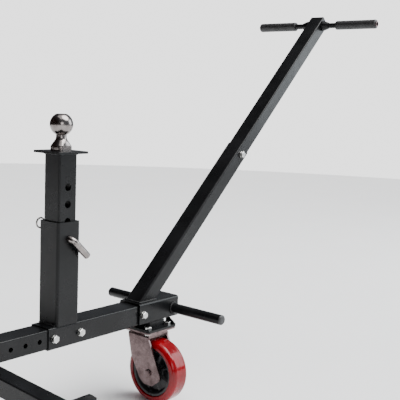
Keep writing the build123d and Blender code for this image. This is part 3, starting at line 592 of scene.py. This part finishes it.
@dataclass
class HitchPost(Assembly):
    """The forged ball, its bent pin and the wire clip."""

    flat_height: float = 23.0 * MM
    neck: float = 11.5 * MM
    flange: float = 23.0 * MM
    flats: float = 19.0 * MM
    pin_angle: float = -44.0
    clip_angle: float = 109.0
    pin_radius: float = 7.95 * MM

    def ball(self) -> None:
        """Turn the ball: a sphere r = sqrt(R^2 - z^2) with a flat top, a waist, a cone and a cut flange."""
        box = NodeBox.of("hitch_ball")
        plate = NodeBox.of("top_plate")
        radius = box.size[0] / 2
        start = math.asin(self.flat_height / radius)
        end = -math.acos(self.neck / radius)
        a = np.linspace(start, end, 64)
        sphere = np.stack([radius * np.sin(a), radius * np.cos(a)], axis=1)
        seat = plate.high[2]
        lower = rounded([(sphere[-1, 0], sphere[-1, 1]), (-31 * MM, self.neck), (seat + 10 * MM, self.flange),
                         (seat, self.flange), (seat, 9.5 * MM), (box.low[2], 9.5 * MM), (box.low[2], 0)],
                        [0, 5 * MM, 2 * MM, 0.8 * MM, 0.3 * MM, 1 * MM, 0], 8, closed=False)
        lip = [[self.flat_height, 0.0], [self.flat_height, sphere[0, 1] - 1.2 * MM],
               [self.flat_height - 0.25 * MM, sphere[0, 1] - 0.3 * MM]]
        outline = np.vstack([lip, sphere[2:], lower[1:]])
        body = turned("ball_forging", outline, np.zeros(3), AxisName.Z, 128, closed=False)
        self.cut_flats(body)
        self.dress(body, Paint.BALL_ZINC, Body.CHASSIS, "hitch_ball")

    def cut_flats(self, piece: bpy.types.Object) -> None:
        """Press the flange's two flats: below the waist, |y| is held to the flats' half width.

        Args:
            piece: the turned ball.
        """
        mesh = piece.data
        co = np.empty(len(mesh.vertices) * 3)
        mesh.vertices.foreach_get("co", co)
        co = co.reshape(-1, 3)
        low = co[:, 2] < -30 * MM
        co[low, 1] = np.clip(co[low, 1], -self.flats, self.flats)
        mesh.vertices.foreach_set("co", co.ravel())
        mesh.update()

    def pin(self) -> None:
        """Bend the hitch pin: a rod along Y, a quarter circle, then a straight leg, with chamfered ends."""
        box = NodeBox.of("hitch_pin")
        radius = self.pin_radius
        bend = 12.0 * MM
        leg_y = box.low[1] + radius
        axis_z = box.high[2] - radius
        far = box.high[1]
        turn = math.radians(self.pin_angle)
        leg = np.array([math.cos(turn), 0, math.sin(turn)])
        length = 60.0 * MM
        t = np.linspace(0, math.pi / 2, 24)
        corner = np.array([0, leg_y + bend, axis_z])
        straight = np.stack([np.zeros(20), np.linspace(far, leg_y + bend, 20), np.full(20, axis_z)], axis=1)
        arc = corner + bend * (1 - np.cos(t))[:, None] * leg - bend * np.sin(t)[:, None] * np.array([0, 1, 0])
        down = np.array([0, leg_y, axis_z]) + np.linspace(bend, length, 20)[:, None] * leg
        path = np.vstack([straight[:-1], arc, down[1:]])
        size = np.full(len(path), radius)
        size[0], size[-1] = 0.84 * radius, 0.86 * radius
        path[1] = path[0] + (path[1] - path[0]) * 0.2
        path[-2] = path[-1] + (path[-2] - path[-1]) * 0.35
        normal = np.cross(leg, (0, 1, 0))
        rod = swept("bent_pin", path, size, tuple(normal), sides=36)
        self.dress(rod, Paint.BALL_ZINC, Body.PIN, "hitch_pin")

    def clip(self) -> None:
        """Bend the wire clip: a straight leg, a round eye and a bowed outer leg, all in one plane."""
        box = NodeBox.of("pin_clip")
        axis_z = NodeBox.of("hitch_pin").high[2] - self.pin_radius
        y = box.middle[1]
        wire, eye, reach, tail, hug = 1.9 * MM, 11 * MM, 35.5 * MM, 17 * MM, 10.25 * MM
        a = np.linspace(math.pi / 2, -math.pi / 2 - math.radians(60), 60)
        ring = np.stack([reach + eye * np.cos(a), -eye + eye * np.sin(a)], axis=1)
        t = np.linspace(0, 1, 24)[1:, None]
        first, bend = ring[-1], ring[-1] + np.array([-4.5, 7.0]) * MM
        last = np.array([reach - 24 * MM, -hug])
        bow = (1 - t) ** 2 * first + 2 * t * (1 - t) * np.array([bend[0], -hug]) + t ** 2 * last
        leg_in = np.stack([np.linspace(-tail, reach, 30), np.zeros(30)], axis=1)[:-1]
        leg_out = np.stack([np.linspace(last[0], 6 * MM - tail, 24), np.full(24, -hug)], axis=1)[1:]
        flat = np.vstack([leg_in, ring, bow, leg_out])
        turn = math.radians(self.clip_angle)
        along = np.array([math.cos(turn), 0, math.sin(turn)])
        across = np.cross((0, 1, 0), along)
        path = flat[:, :1] * along + flat[:, 1:] * across + np.array([0, y, axis_z])
        self.dress(swept("wire_clip", path, wire, (0, 1, 0), sides=12), Paint.BALL_ZINC, Body.PIN, "pin_clip")

    def build(self) -> None:
        """Build the post's pieces."""
        self.ball()
        self.pin()
        self.clip()


@dataclass
class Welds(Assembly):
    """Rippled weld beads where tubes meet."""

    size: float = 3.4 * MM
    fine: float = 2.4 * MM
    pitch: float = 4.2 * MM
    depth: float = 0.22

    def bead(self, name: str, path: np.ndarray, normal: tuple, loop: bool, *nodes: str) -> None:
        """Lay one bead along a path.

        Args:
            name: the bead's name.
            path: its centre line.
            normal: unit normal of the path's plane.
            loop: whether the path closes.
            nodes: CAD nodes that it stands for.
        """
        size = self.fine if loop and "weld_beads" in nodes else self.size
        radius = rippled(path, size, self.pitch, self.depth, len(name))
        if not loop:
            from_end = np.minimum(np.arange(len(path)), np.arange(len(path))[::-1])
            radius = radius * np.clip(from_end / 6 + 0.3, 0, 1)
        self.dress(swept(name, path, radius, normal, loop, 14), Paint.FRAME_BLACK, Body.CHASSIS, *nodes)

    def build(self) -> None:
        """Lay every bead."""
        inner, outer = NodeBox.of("inner_post"), NodeBox.of("outer_post")
        sleeve, beam = NodeBox.of("handle_sleeve"), NodeBox.of("outer_beam")
        cross = NodeBox.of("cross_bar")
        half = inner.size[0] / 2 + 0.6 * MM
        under = loop_path(rectangle(0, 0, half, half, 4.5 * MM), inner.high[2] - 0.8 * MM, 420)
        self.bead("weld_post_top", under, (0, 0, 1), True, "weld_beads")
        for sign, label in ((-1, "rear"), (1, "front")):
            x = sign * (outer.size[0] / 2 + 0.4 * MM)
            y = np.linspace(-beam.size[1] / 2 + 3 * MM, beam.size[1] / 2 - 3 * MM, 160)
            path = np.stack([np.full(160, x), y, np.full(160, beam.high[2] + 0.4 * MM)], axis=1)
            self.bead(f"weld_post_foot_{label}", path, (0, 0, 1), False)
        slope = math.radians(44.17)
        foot_half = 40.5 * MM / 2 / math.sin(slope)
        foot_x = 265.8 * MM + (sleeve.high[2] + 439.8 * MM) / math.tan(slope)
        foot = rectangle(foot_x, 0, foot_half + 0.4 * MM, 25.4 * MM, 4 * MM)
        self.bead("weld_handle_foot", loop_path(foot, sleeve.high[2] + 0.4 * MM, 520), (0, 0, 1), True)
        a = np.linspace(0, 2 * math.pi, 260, endpoint=False)
        ring = cross.size[0] / 2 + 0.8 * MM
        for sign, label in ((-1, "near"), (1, "far")):
            y = sign * (sleeve.size[1] / 2 + 0.6 * MM)
            circle = np.stack([ring * np.cos(a), np.full(260, 0.0), ring * np.sin(a)], axis=1)
            path = circle + np.array([cross.middle[0], y, cross.middle[2]])
            self.bead(f"weld_cross_bar_{label}", path, (0, 1, 0), True)
        axle, inside = NodeBox.of("axle_arms"), NodeBox.of("inner_beam")
        for sign, label in ((-1, "near"), (1, "far")):
            x = np.linspace(axle.low[0] + 3 * MM, axle.high[0] - 3 * MM, 110)
            path = np.stack([x, np.full(110, sign * (inside.size[1] / 2 + 1.5 * MM)),
                             np.full(110, inside.low[2] - 1.8 * MM)], axis=1)
            self.bead(f"weld_axle_{label}", path, (0, 0, 1), False)


@dataclass
class Handle(Assembly):
    """T-bar, its bosses and the two hand grips."""

    bar: float = 8.0 * MM
    ribs: int = 26
    rib_depth: float = 0.35 * MM

    def tbar(self) -> None:
        """Turn the T-bar: a black rod between two bare ring ends, each with a short bore."""
        box = NodeBox.of("tbar")
        half, ring, inner = box.size[1] / 2, 5 * MM, self.bar - 2 * MM
        rod = rounded([(ring - half, 0), (ring - half, self.bar), (half - ring, self.bar), (half - ring, 0)],
                      0.2 * MM, 4, closed=False)
        bar = turned("tbar_rod", rod, box.middle, AxisName.Y, 48, closed=False)
        self.dress(bar, Paint.FRAME_BLACK, Body.CHASSIS, "tbar")
        for sign, label in ((-1, "near"), (1, "far")):
            ends = [(half - ring, inner), (half - ring, self.bar), (half, self.bar), (half, inner)]
            outline = rounded([(sign * h, radius) for h, radius in ends], 0.5 * MM, 4)
            tip = turned(f"tbar_end_{label}", outline, box.middle, AxisName.Y, 48)
            self.dress(tip, Paint.BRIGHT_ZINC, Body.CHASSIS)

    def bosses(self) -> None:
        """Turn the two tapered bosses where the T-bar leaves the handle."""
        box = NodeBox.of("tbar_bosses")
        tube = 23.3 * MM
        for sign, label in ((-1, "near"), (1, "far")):
            ends = [(tube, self.bar), (tube, 15 * MM), (tube + 6 * MM, 15 * MM), (box.high[1], 9.5 * MM),
                    (box.high[1], self.bar)]
            rounding = [0.2 * MM, 0.8 * MM, 4 * MM, 1.2 * MM, 0.2 * MM]
            outline = rounded([(sign * h, r) for h, r in ends], rounding, 8)
            boss = turned(f"tbar_boss_{label}", outline, box.middle, AxisName.Y, 64)
            nodes = ("tbar_bosses",) if sign < 0 else ()
            self.dress(boss, Paint.FRAME_BLACK, Body.CHASSIS, *nodes)

    def grips(self) -> None:
        """Turn the grips: a sleeve whose radius dips at each rib groove, with rolled ends."""
        for node in ("grip_near", "grip_far"):
            box = NodeBox.of(node)
            length, radius = box.size[1], box.size[0] / 2
            s = np.linspace(0, 1, 420)
            end = np.minimum(s, 1 - s) * length
            roll = np.clip(end / (4 * MM), 0, 1)
            skin = radius - 3.4 * MM * (1 - np.sqrt(1 - (1 - roll) ** 2))
            inside_ribs = np.clip((end - 9 * MM) / (2 * MM), 0, 1)
            groove = np.abs(np.sin(math.pi * self.ribs * s)) ** 8
            skin = skin - self.rib_depth * inside_ribs * groove
            outer = np.stack([(s - 0.5) * length, skin], axis=1)
            bore = np.array([[0.5 * length, self.bar + 0.1 * MM], [-0.5 * length, self.bar + 0.1 * MM]])
            grip = turned(f"{node}_sleeve", np.vstack([outer, bore]), box.middle, AxisName.Y, 64)
            self.dress(grip, Paint.GRIP, Body.CHASSIS, node)

    def build(self) -> None:
        """Build the handle's pieces."""
        self.tbar()
        self.bosses()
        self.grips()


@dataclass
class CrossBar(Assembly):
    """The short round bar behind the handle, with moulded end caps."""

    nose: float = 4.6 * MM

    def build(self) -> None:
        """Turn the bar and its two caps: the cap's rim is a quarter ellipse."""
        box, caps = NodeBox.of("cross_bar"), NodeBox.of("cross_bar_caps")
        radius, half = box.size[0] / 2, box.size[1] / 2
        inner = radius - 2.5 * MM
        tube = rounded([(-half, inner), (-half, radius), (half, radius), (half, inner)], 0.4 * MM, 4)
        bar = turned("cross_bar_tube", tube, box.middle, AxisName.Y, 64)
        self.dress(bar, Paint.FRAME_BLACK, Body.CHASSIS, "cross_bar")
        end = caps.size[1] / 2
        for sign, label in ((-1, "near"), (1, "far")):
            t = np.linspace(0, math.pi / 2, 14)
            rim = np.stack([end - self.nose * (1 - np.cos(t)), radius - self.nose * (1 - np.sin(t))], axis=1)
            rim = rim[np.argsort(rim[:, 1])]
            shape = np.vstack([[end, 0], rim, [half + 0.05 * MM, radius], [half + 0.05 * MM, 0]])
            shape[:, 0] *= sign
            cap = turned(f"cross_bar_cap_{label}", shape, box.middle, AxisName.Y, 64, closed=False)
            nodes = ("cross_bar_caps",) if sign < 0 else ()
            self.dress(cap, Paint.BLACK_PLASTIC, Body.CHASSIS, *nodes)


@dataclass
class CasterWheel(Assembly):
    """The red-treaded wheel and its moulded core."""

    core: float = 62.5 * MM
    shoulder: float = 14.0 * MM
    seam: float = 0.35 * MM
    spokes: int = 8

    def tread(self) -> None:
        """Turn the tread: a crowned band with elliptical shoulders and a moulding seam round its middle."""
        box = NodeBox.of("caster_tread")
        radius, half = box.size[2] / 2, box.size[0] / 2
        t = np.linspace(0, math.pi / 2, 20)
        shoulder = np.stack([half - self.shoulder * (1 - np.cos(t)),
                             radius - self.shoulder * (1 - np.sin(t))], axis=1)
        flat = np.linspace(half - self.shoulder, -half + self.shoulder, 41)[1:-1]
        bump = self.seam * np.exp(-(flat / (0.6 * MM)) ** 2)
        crown = np.stack([flat, radius - 0.2 * MM + np.minimum(bump, 0.2 * MM)], axis=1)
        mirror = shoulder[::-1] * np.array([-1, 1])
        wall = [[-half, self.core + 1.5 * MM], [-half + 1.5 * MM, self.core], [half - 1.5 * MM, self.core],
                [half, self.core + 1.5 * MM]]
        outline = np.vstack([shoulder, crown, mirror, wall])
        tread = turned("tread_band", outline, box.middle, AxisName.X, 160)
        self.dress(tread, Paint.RED_TREAD, Body.CASTER_WHEEL, "caster_tread")

    def core_piece(self) -> None:
        """Turn the core: a hub, a dished web and a rim, with radial ribs raised on the web.

        Between hub and rim the web's half thickness rises by a rounded ridge at each spoke angle.
        """
        box = NodeBox.of("caster_wheel_core")
        half = box.size[0] / 2
        outline = rounded([(-half, 16 * MM), (-half, 21.5 * MM), (-9 * MM, 26 * MM),
                           (-8 * MM, self.core - 13 * MM),
                           (-half + 5 * MM, self.core - 7 * MM), (-half + 4.2 * MM, self.core - 0.1 * MM),
                           (half - 4.2 * MM, self.core - 0.1 * MM), (half - 5 * MM, self.core - 7 * MM),
                           (8 * MM, self.core - 13 * MM), (9 * MM, 26 * MM),
                           (half, 21.5 * MM), (half, 16 * MM)],
                          2.2 * MM, 6)
        dense = self.densify(outline)
        core = turned("wheel_core", dense, box.middle, AxisName.X, 192)
        self.raise_ribs(core, box.middle)
        self.dress(core, Paint.BLACK_CORE, Body.CASTER_WHEEL, "caster_wheel_core")

    def densify(self, outline: np.ndarray) -> np.ndarray:
        """Space points along a closed outline: 150 even steps along its sides, plus its own corners.

        Args:
            outline: rows of (distance along the axis, radius).

        Returns:
            The outline with points about 2 mm apart.
        """
        shut = np.vstack([outline, outline[:1]])
        s = np.r_[0, np.cumsum(np.linalg.norm(np.diff(shut, axis=0), axis=1))]
        at = np.union1d(np.linspace(0, s[-1], 150)[:-1], s[:-1])
        return np.stack([np.interp(at, s, shut[:, 0]), np.interp(at, s, shut[:, 1])], axis=1)

    def raise_ribs(self, piece: bpy.types.Object, centre: np.ndarray) -> None:
        """Lift the web into spokes: x moves outwards by 6 mm * ridge(angle) * window(radius).

        Args:
            piece: the turned core.
            centre: the wheel's centre.
        """
        mesh = piece.data
        co = np.empty(len(mesh.vertices) * 3)
        mesh.vertices.foreach_get("co", co)
        co = co.reshape(-1, 3)
        rel = co - centre
        r = np.hypot(rel[:, 1], rel[:, 2])
        angle = np.arctan2(rel[:, 2], rel[:, 1])
        window = np.clip((r - 25 * MM) / (2 * MM), 0, 1) * np.clip((self.core - 11 * MM - r) / (2 * MM), 0, 1)
        arc = np.abs((angle * self.spokes / (2 * math.pi)) % 1 - 0.5) * 2 * math.pi / self.spokes * r
        ridge = np.clip(1 - (arc / (3.2 * MM)) ** 4, 0, 1)
        co[:, 0] += np.sign(rel[:, 0]) * 7 * MM * window * ridge
        mesh.vertices.foreach_set("co", co.ravel())
        mesh.update()

    def build(self) -> None:
        """Build the wheel."""
        self.tread()
        self.core_piece()


@dataclass
class RearWheels(Assembly):
    """Two solid-rubber wheels on painted rims."""

    blocks: int = 60

    def tyre(self, node: str, body: Body) -> None:
        """Turn a ribbed tyre: rounded shoulders, two grooves round it and shallow side lugs.

        Args:
            node: the CAD node it stands for.
            body: the body it rides on.
        """
        box = NodeBox.of(node)
        radius, half, rim = box.size[2] / 2, box.size[1] / 2, 75 * MM
        t = np.linspace(0, math.pi / 2, 14)
        edge = np.stack([half - 10 * MM * (1 - np.cos(t)), radius - 10 * MM * (1 - np.sin(t))], axis=1)
        s = np.linspace(half - 10 * MM, -half + 10 * MM, 121)[1:-1]
        groove = 3.0 * MM * np.exp(-((np.abs(s) - 8 * MM) / (1.3 * MM)) ** 6)
        crown = np.stack([s, radius - groove], axis=1)
        wall = [[-half, rim + 12 * MM], [-half + 0.8 * MM, rim + 10 * MM],
                [-half, rim + 2 * MM], [-half + 2 * MM, rim],
                [half - 2 * MM, rim], [half, rim + 2 * MM],
                [half - 0.8 * MM, rim + 10 * MM], [half, rim + 12 * MM]]
        outline = np.vstack([edge, crown, edge[::-1] * np.array([-1, 1]), wall])
        tyre = turned(f"{node}_band", outline, box.middle, AxisName.Y, 240)
        self.cut_lugs(tyre, box.middle, radius, half)
        self.dress(tyre, Paint.TYRE, body, node)

    def cut_lugs(self, piece: bpy.types.Object, centre: np.ndarray, radius: float, half: float) -> None:
        """Press shallow notches into both shoulders: r drops by 1.6 mm * square wave(angle) * window(y).

        Args:
            piece: the turned tyre.
            centre: the wheel's centre.
            radius: the tyre's radius.
            half: half its width.
        """
        mesh = piece.data
        co = np.empty(len(mesh.vertices) * 3)
        mesh.vertices.foreach_get("co", co)
        co = co.reshape(-1, 3)
        rel = co - centre
        r = np.hypot(rel[:, 0], rel[:, 2])
        angle = np.arctan2(rel[:, 2], rel[:, 0])
        wave = np.clip(np.sin(angle * self.blocks) * 4, 0, 1)
        side = np.clip((np.abs(rel[:, 1]) - 12 * MM) / (2 * MM), 0, 1)
        window = side * np.clip((r - radius + 9 * MM) / (3 * MM), 0, 1)
        scale = 1 - 1.6 * MM * wave * window / np.maximum(r, 1e-6)
        co[:, 0] = centre[0] + rel[:, 0] * scale
        co[:, 2] = centre[2] + rel[:, 2] * scale
        mesh.vertices.foreach_set("co", co.ravel())
        mesh.update()

    def build(self) -> None:
        """Build both wheels' tyres."""
        self.tyre("rear_tyre_near", Body.REAR_NEAR)
        self.tyre("rear_tyre_far", Body.REAR_FAR)


# ---------------------------------------------------------------- studio


@dataclass(frozen=True)
class Studio:
    """Camera, pale floor and soft lights."""

    eye: tuple = (-1.1269, -1.3126, 0.0601)
    azimuth: float = -50.91
    elevation: float = 7.19
    roll: float = 2.215
    focal_px: float = 777.8
    frame_px: float = 400.0
    sensor: float = 36.0

    def camera(self) -> None:
        """Place the camera: its axes are the view direction and the right and up vectors turned by the roll."""
        az, el, roll = (math.radians(v) for v in (self.azimuth, self.elevation, self.roll))
        ahead = Vector((-math.sin(az) * math.cos(el), math.cos(az) * math.cos(el), -math.sin(el)))
        right = Vector((math.cos(az), math.sin(az), 0))
        up = right.cross(ahead)
        turned_right = math.cos(roll) * right + math.sin(roll) * up
        turned_up = -math.sin(roll) * right + math.cos(roll) * up
        turn = Matrix((turned_right, turned_up, -ahead)).transposed()
        data = bpy.data.cameras.new("camera")
        data.sensor_width = self.sensor
        data.lens = self.focal_px / self.frame_px * self.sensor
        data.clip_end = 100
        camera = bpy.data.objects.new("camera", data)
        camera.matrix_world = Matrix.Translation(self.eye) @ turn.to_4x4()
        bpy.context.scene.collection.objects.link(camera)
        bpy.context.scene.camera = camera

    def light(self, name: str, place: tuple, aim: tuple, size: tuple, power: float,
              tint: tuple = (1, 1, 1)) -> None:
        """Hang one soft box.

        Args:
            name: the light's name.
            place: where it hangs.
            aim: the point it faces.
            size: its width and height.
            power: its power in watts.
            tint: its colour.
        """
        data = bpy.data.lights.new(name, "AREA")
        data.shape = "RECTANGLE"
        data.size, data.size_y = size
        data.energy = power
        data.color = tint
        lamp = bpy.data.objects.new(name, data)
        lamp.location = place
        lamp.rotation_euler = (Vector(aim) - Vector(place)).to_track_quat("-Z", "Y").to_euler()
        bpy.context.scene.collection.objects.link(lamp)

    def sun(self, toward: tuple, power: float) -> None:
        """Hang one broad, soft overhead lamp that lights the whole floor evenly.

        Args:
            toward: direction from the object to the lamp.
            power: its strength.
        """
        data = bpy.data.lights.new("overhead", "SUN")
        data.energy = power
        data.angle = math.radians(50)
        lamp = bpy.data.objects.new("overhead", data)
        lamp.rotation_euler = Vector(toward).to_track_quat("Z", "Y").to_euler()
        bpy.context.scene.collection.objects.link(lamp)

    def world(self) -> None:
        """Light the scene from all round: pale to the eye, and brighter on the +X -Y side than behind."""
        world = bpy.data.worlds.new("studio")
        bpy.context.scene.world = world
        world.use_nodes = True
        tree = world.node_tree
        tree.nodes.clear()
        out = tree.nodes.new("ShaderNodeOutputWorld")
        mix = tree.nodes.new("ShaderNodeMixShader")
        path = tree.nodes.new("ShaderNodeLightPath")
        seen = tree.nodes.new("ShaderNodeBackground")
        fill = tree.nodes.new("ShaderNodeBackground")
        seen.inputs["Color"].default_value = (1, 1, 1, 1)
        seen.inputs["Strength"].default_value = 2.3
        fill.inputs["Strength"].default_value = 1.0
        coords = tree.nodes.new("ShaderNodeTexCoord")
        facing = tree.nodes.new("ShaderNodeVectorMath")
        facing.operation = "DOT_PRODUCT"
        facing.inputs[1].default_value = (0.77, -0.6, 0.2)
        share = tree.nodes.new("ShaderNodeMapRange")
        share.inputs["From Min"].default_value = -0.6
        share.inputs["From Max"].default_value = 0.9
        tint = tree.nodes.new("ShaderNodeMix")
        tint.data_type = "RGBA"
        tint.inputs[6].default_value = (0.035, 0.022, 0.021, 1)
        tint.inputs[7].default_value = (0.30, 0.33, 0.36, 1)
        tree.links.new(coords.outputs["Generated"], facing.inputs[0])
        tree.links.new(facing.outputs["Value"], share.inputs["Value"])
        tree.links.new(share.outputs["Result"], tint.inputs["Factor"])
        tree.links.new(tint.outputs[2], fill.inputs["Color"])
        tree.links.new(path.outputs["Is Camera Ray"], mix.inputs["Fac"])
        tree.links.new(fill.outputs[0], mix.inputs[1])
        tree.links.new(seen.outputs[0], mix.inputs[2])
        tree.links.new(mix.outputs[0], out.inputs[0])

    def floor(self, height: float) -> None:
        """Lay the pale floor: a flat disc 7 m in radius.

        Args:
            height: the floor's height.
        """
        r = np.linspace(0.0, 7.0, 30)[:, None]
        a = np.linspace(0, 2 * math.pi, 72, endpoint=False)[None, :]
        points = np.stack([r * np.cos(a) + 0.3, r * np.sin(a), np.full((30, 72), height)], axis=-1)
        floor = grid_object("floor", points, False, True, lids=False)
        tree = NodeTree("pale_floor")
        tree.colour(tree.blend(tree.noise(3.0), (0.88, 0.88, 0.88), (0.92, 0.92, 0.92)))
        tree.set(Roughness=0.9)
        floor.data.materials.append(tree.material)
        floor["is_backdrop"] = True

    def build(self, floor_height: float) -> None:
        """Set the whole studio.

        Args:
            floor_height: where the wheels stand.
        """
        self.camera()
        self.world()
        self.floor(floor_height)
        self.sun((0.35, -0.45, 1.0), 5.8)
        self.light("key_side", (3.4, -2.0, 1.0), (0.3, 0, -0.1), (2.2, 2.4), 90, (0.90, 0.96, 1.0))
        self.light("top_soft", (0.2, -0.4, 3.2), (0.3, 0, -0.5), (3.5, 3.0), 50)
        self.light("front_low", (-2.0, -3.0, 0.6), (0.2, 0, -0.4), (1.4, 1.4), 22)


def paint_nodes(frame: dict, shop: PaintShop) -> None:
    """Give every CAD node the finish of its slot.

    Args:
        frame: the loaded frame.
        shop: the paint shop.
    """
    slots = {entry["node"]: entry["material_slot"] for entry in frame["record"]["subparts"]}
    for name, piece in frame["nodes"].items():
        piece.data.materials.clear()
        piece.data.materials.append(shop.get(slots[name]))
        log.info("%s painted as %s", name, slots[name])


def main() -> None:
    """Build the dolly's looks and the studio."""
    logging.basicConfig(level=logging.INFO, format="%(name)s: %(message)s")
    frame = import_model()
    cad = [[float(v) for v in corner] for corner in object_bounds()]
    shop = PaintShop()
    Studio().build(cad[0][2])
    paint_nodes(frame, shop)
    for assembly in (HitchPost, Welds, Handle, CrossBar, CasterWheel, RearWheels):
        assembly(shop).build()


if __name__ == "__main__":
    main()
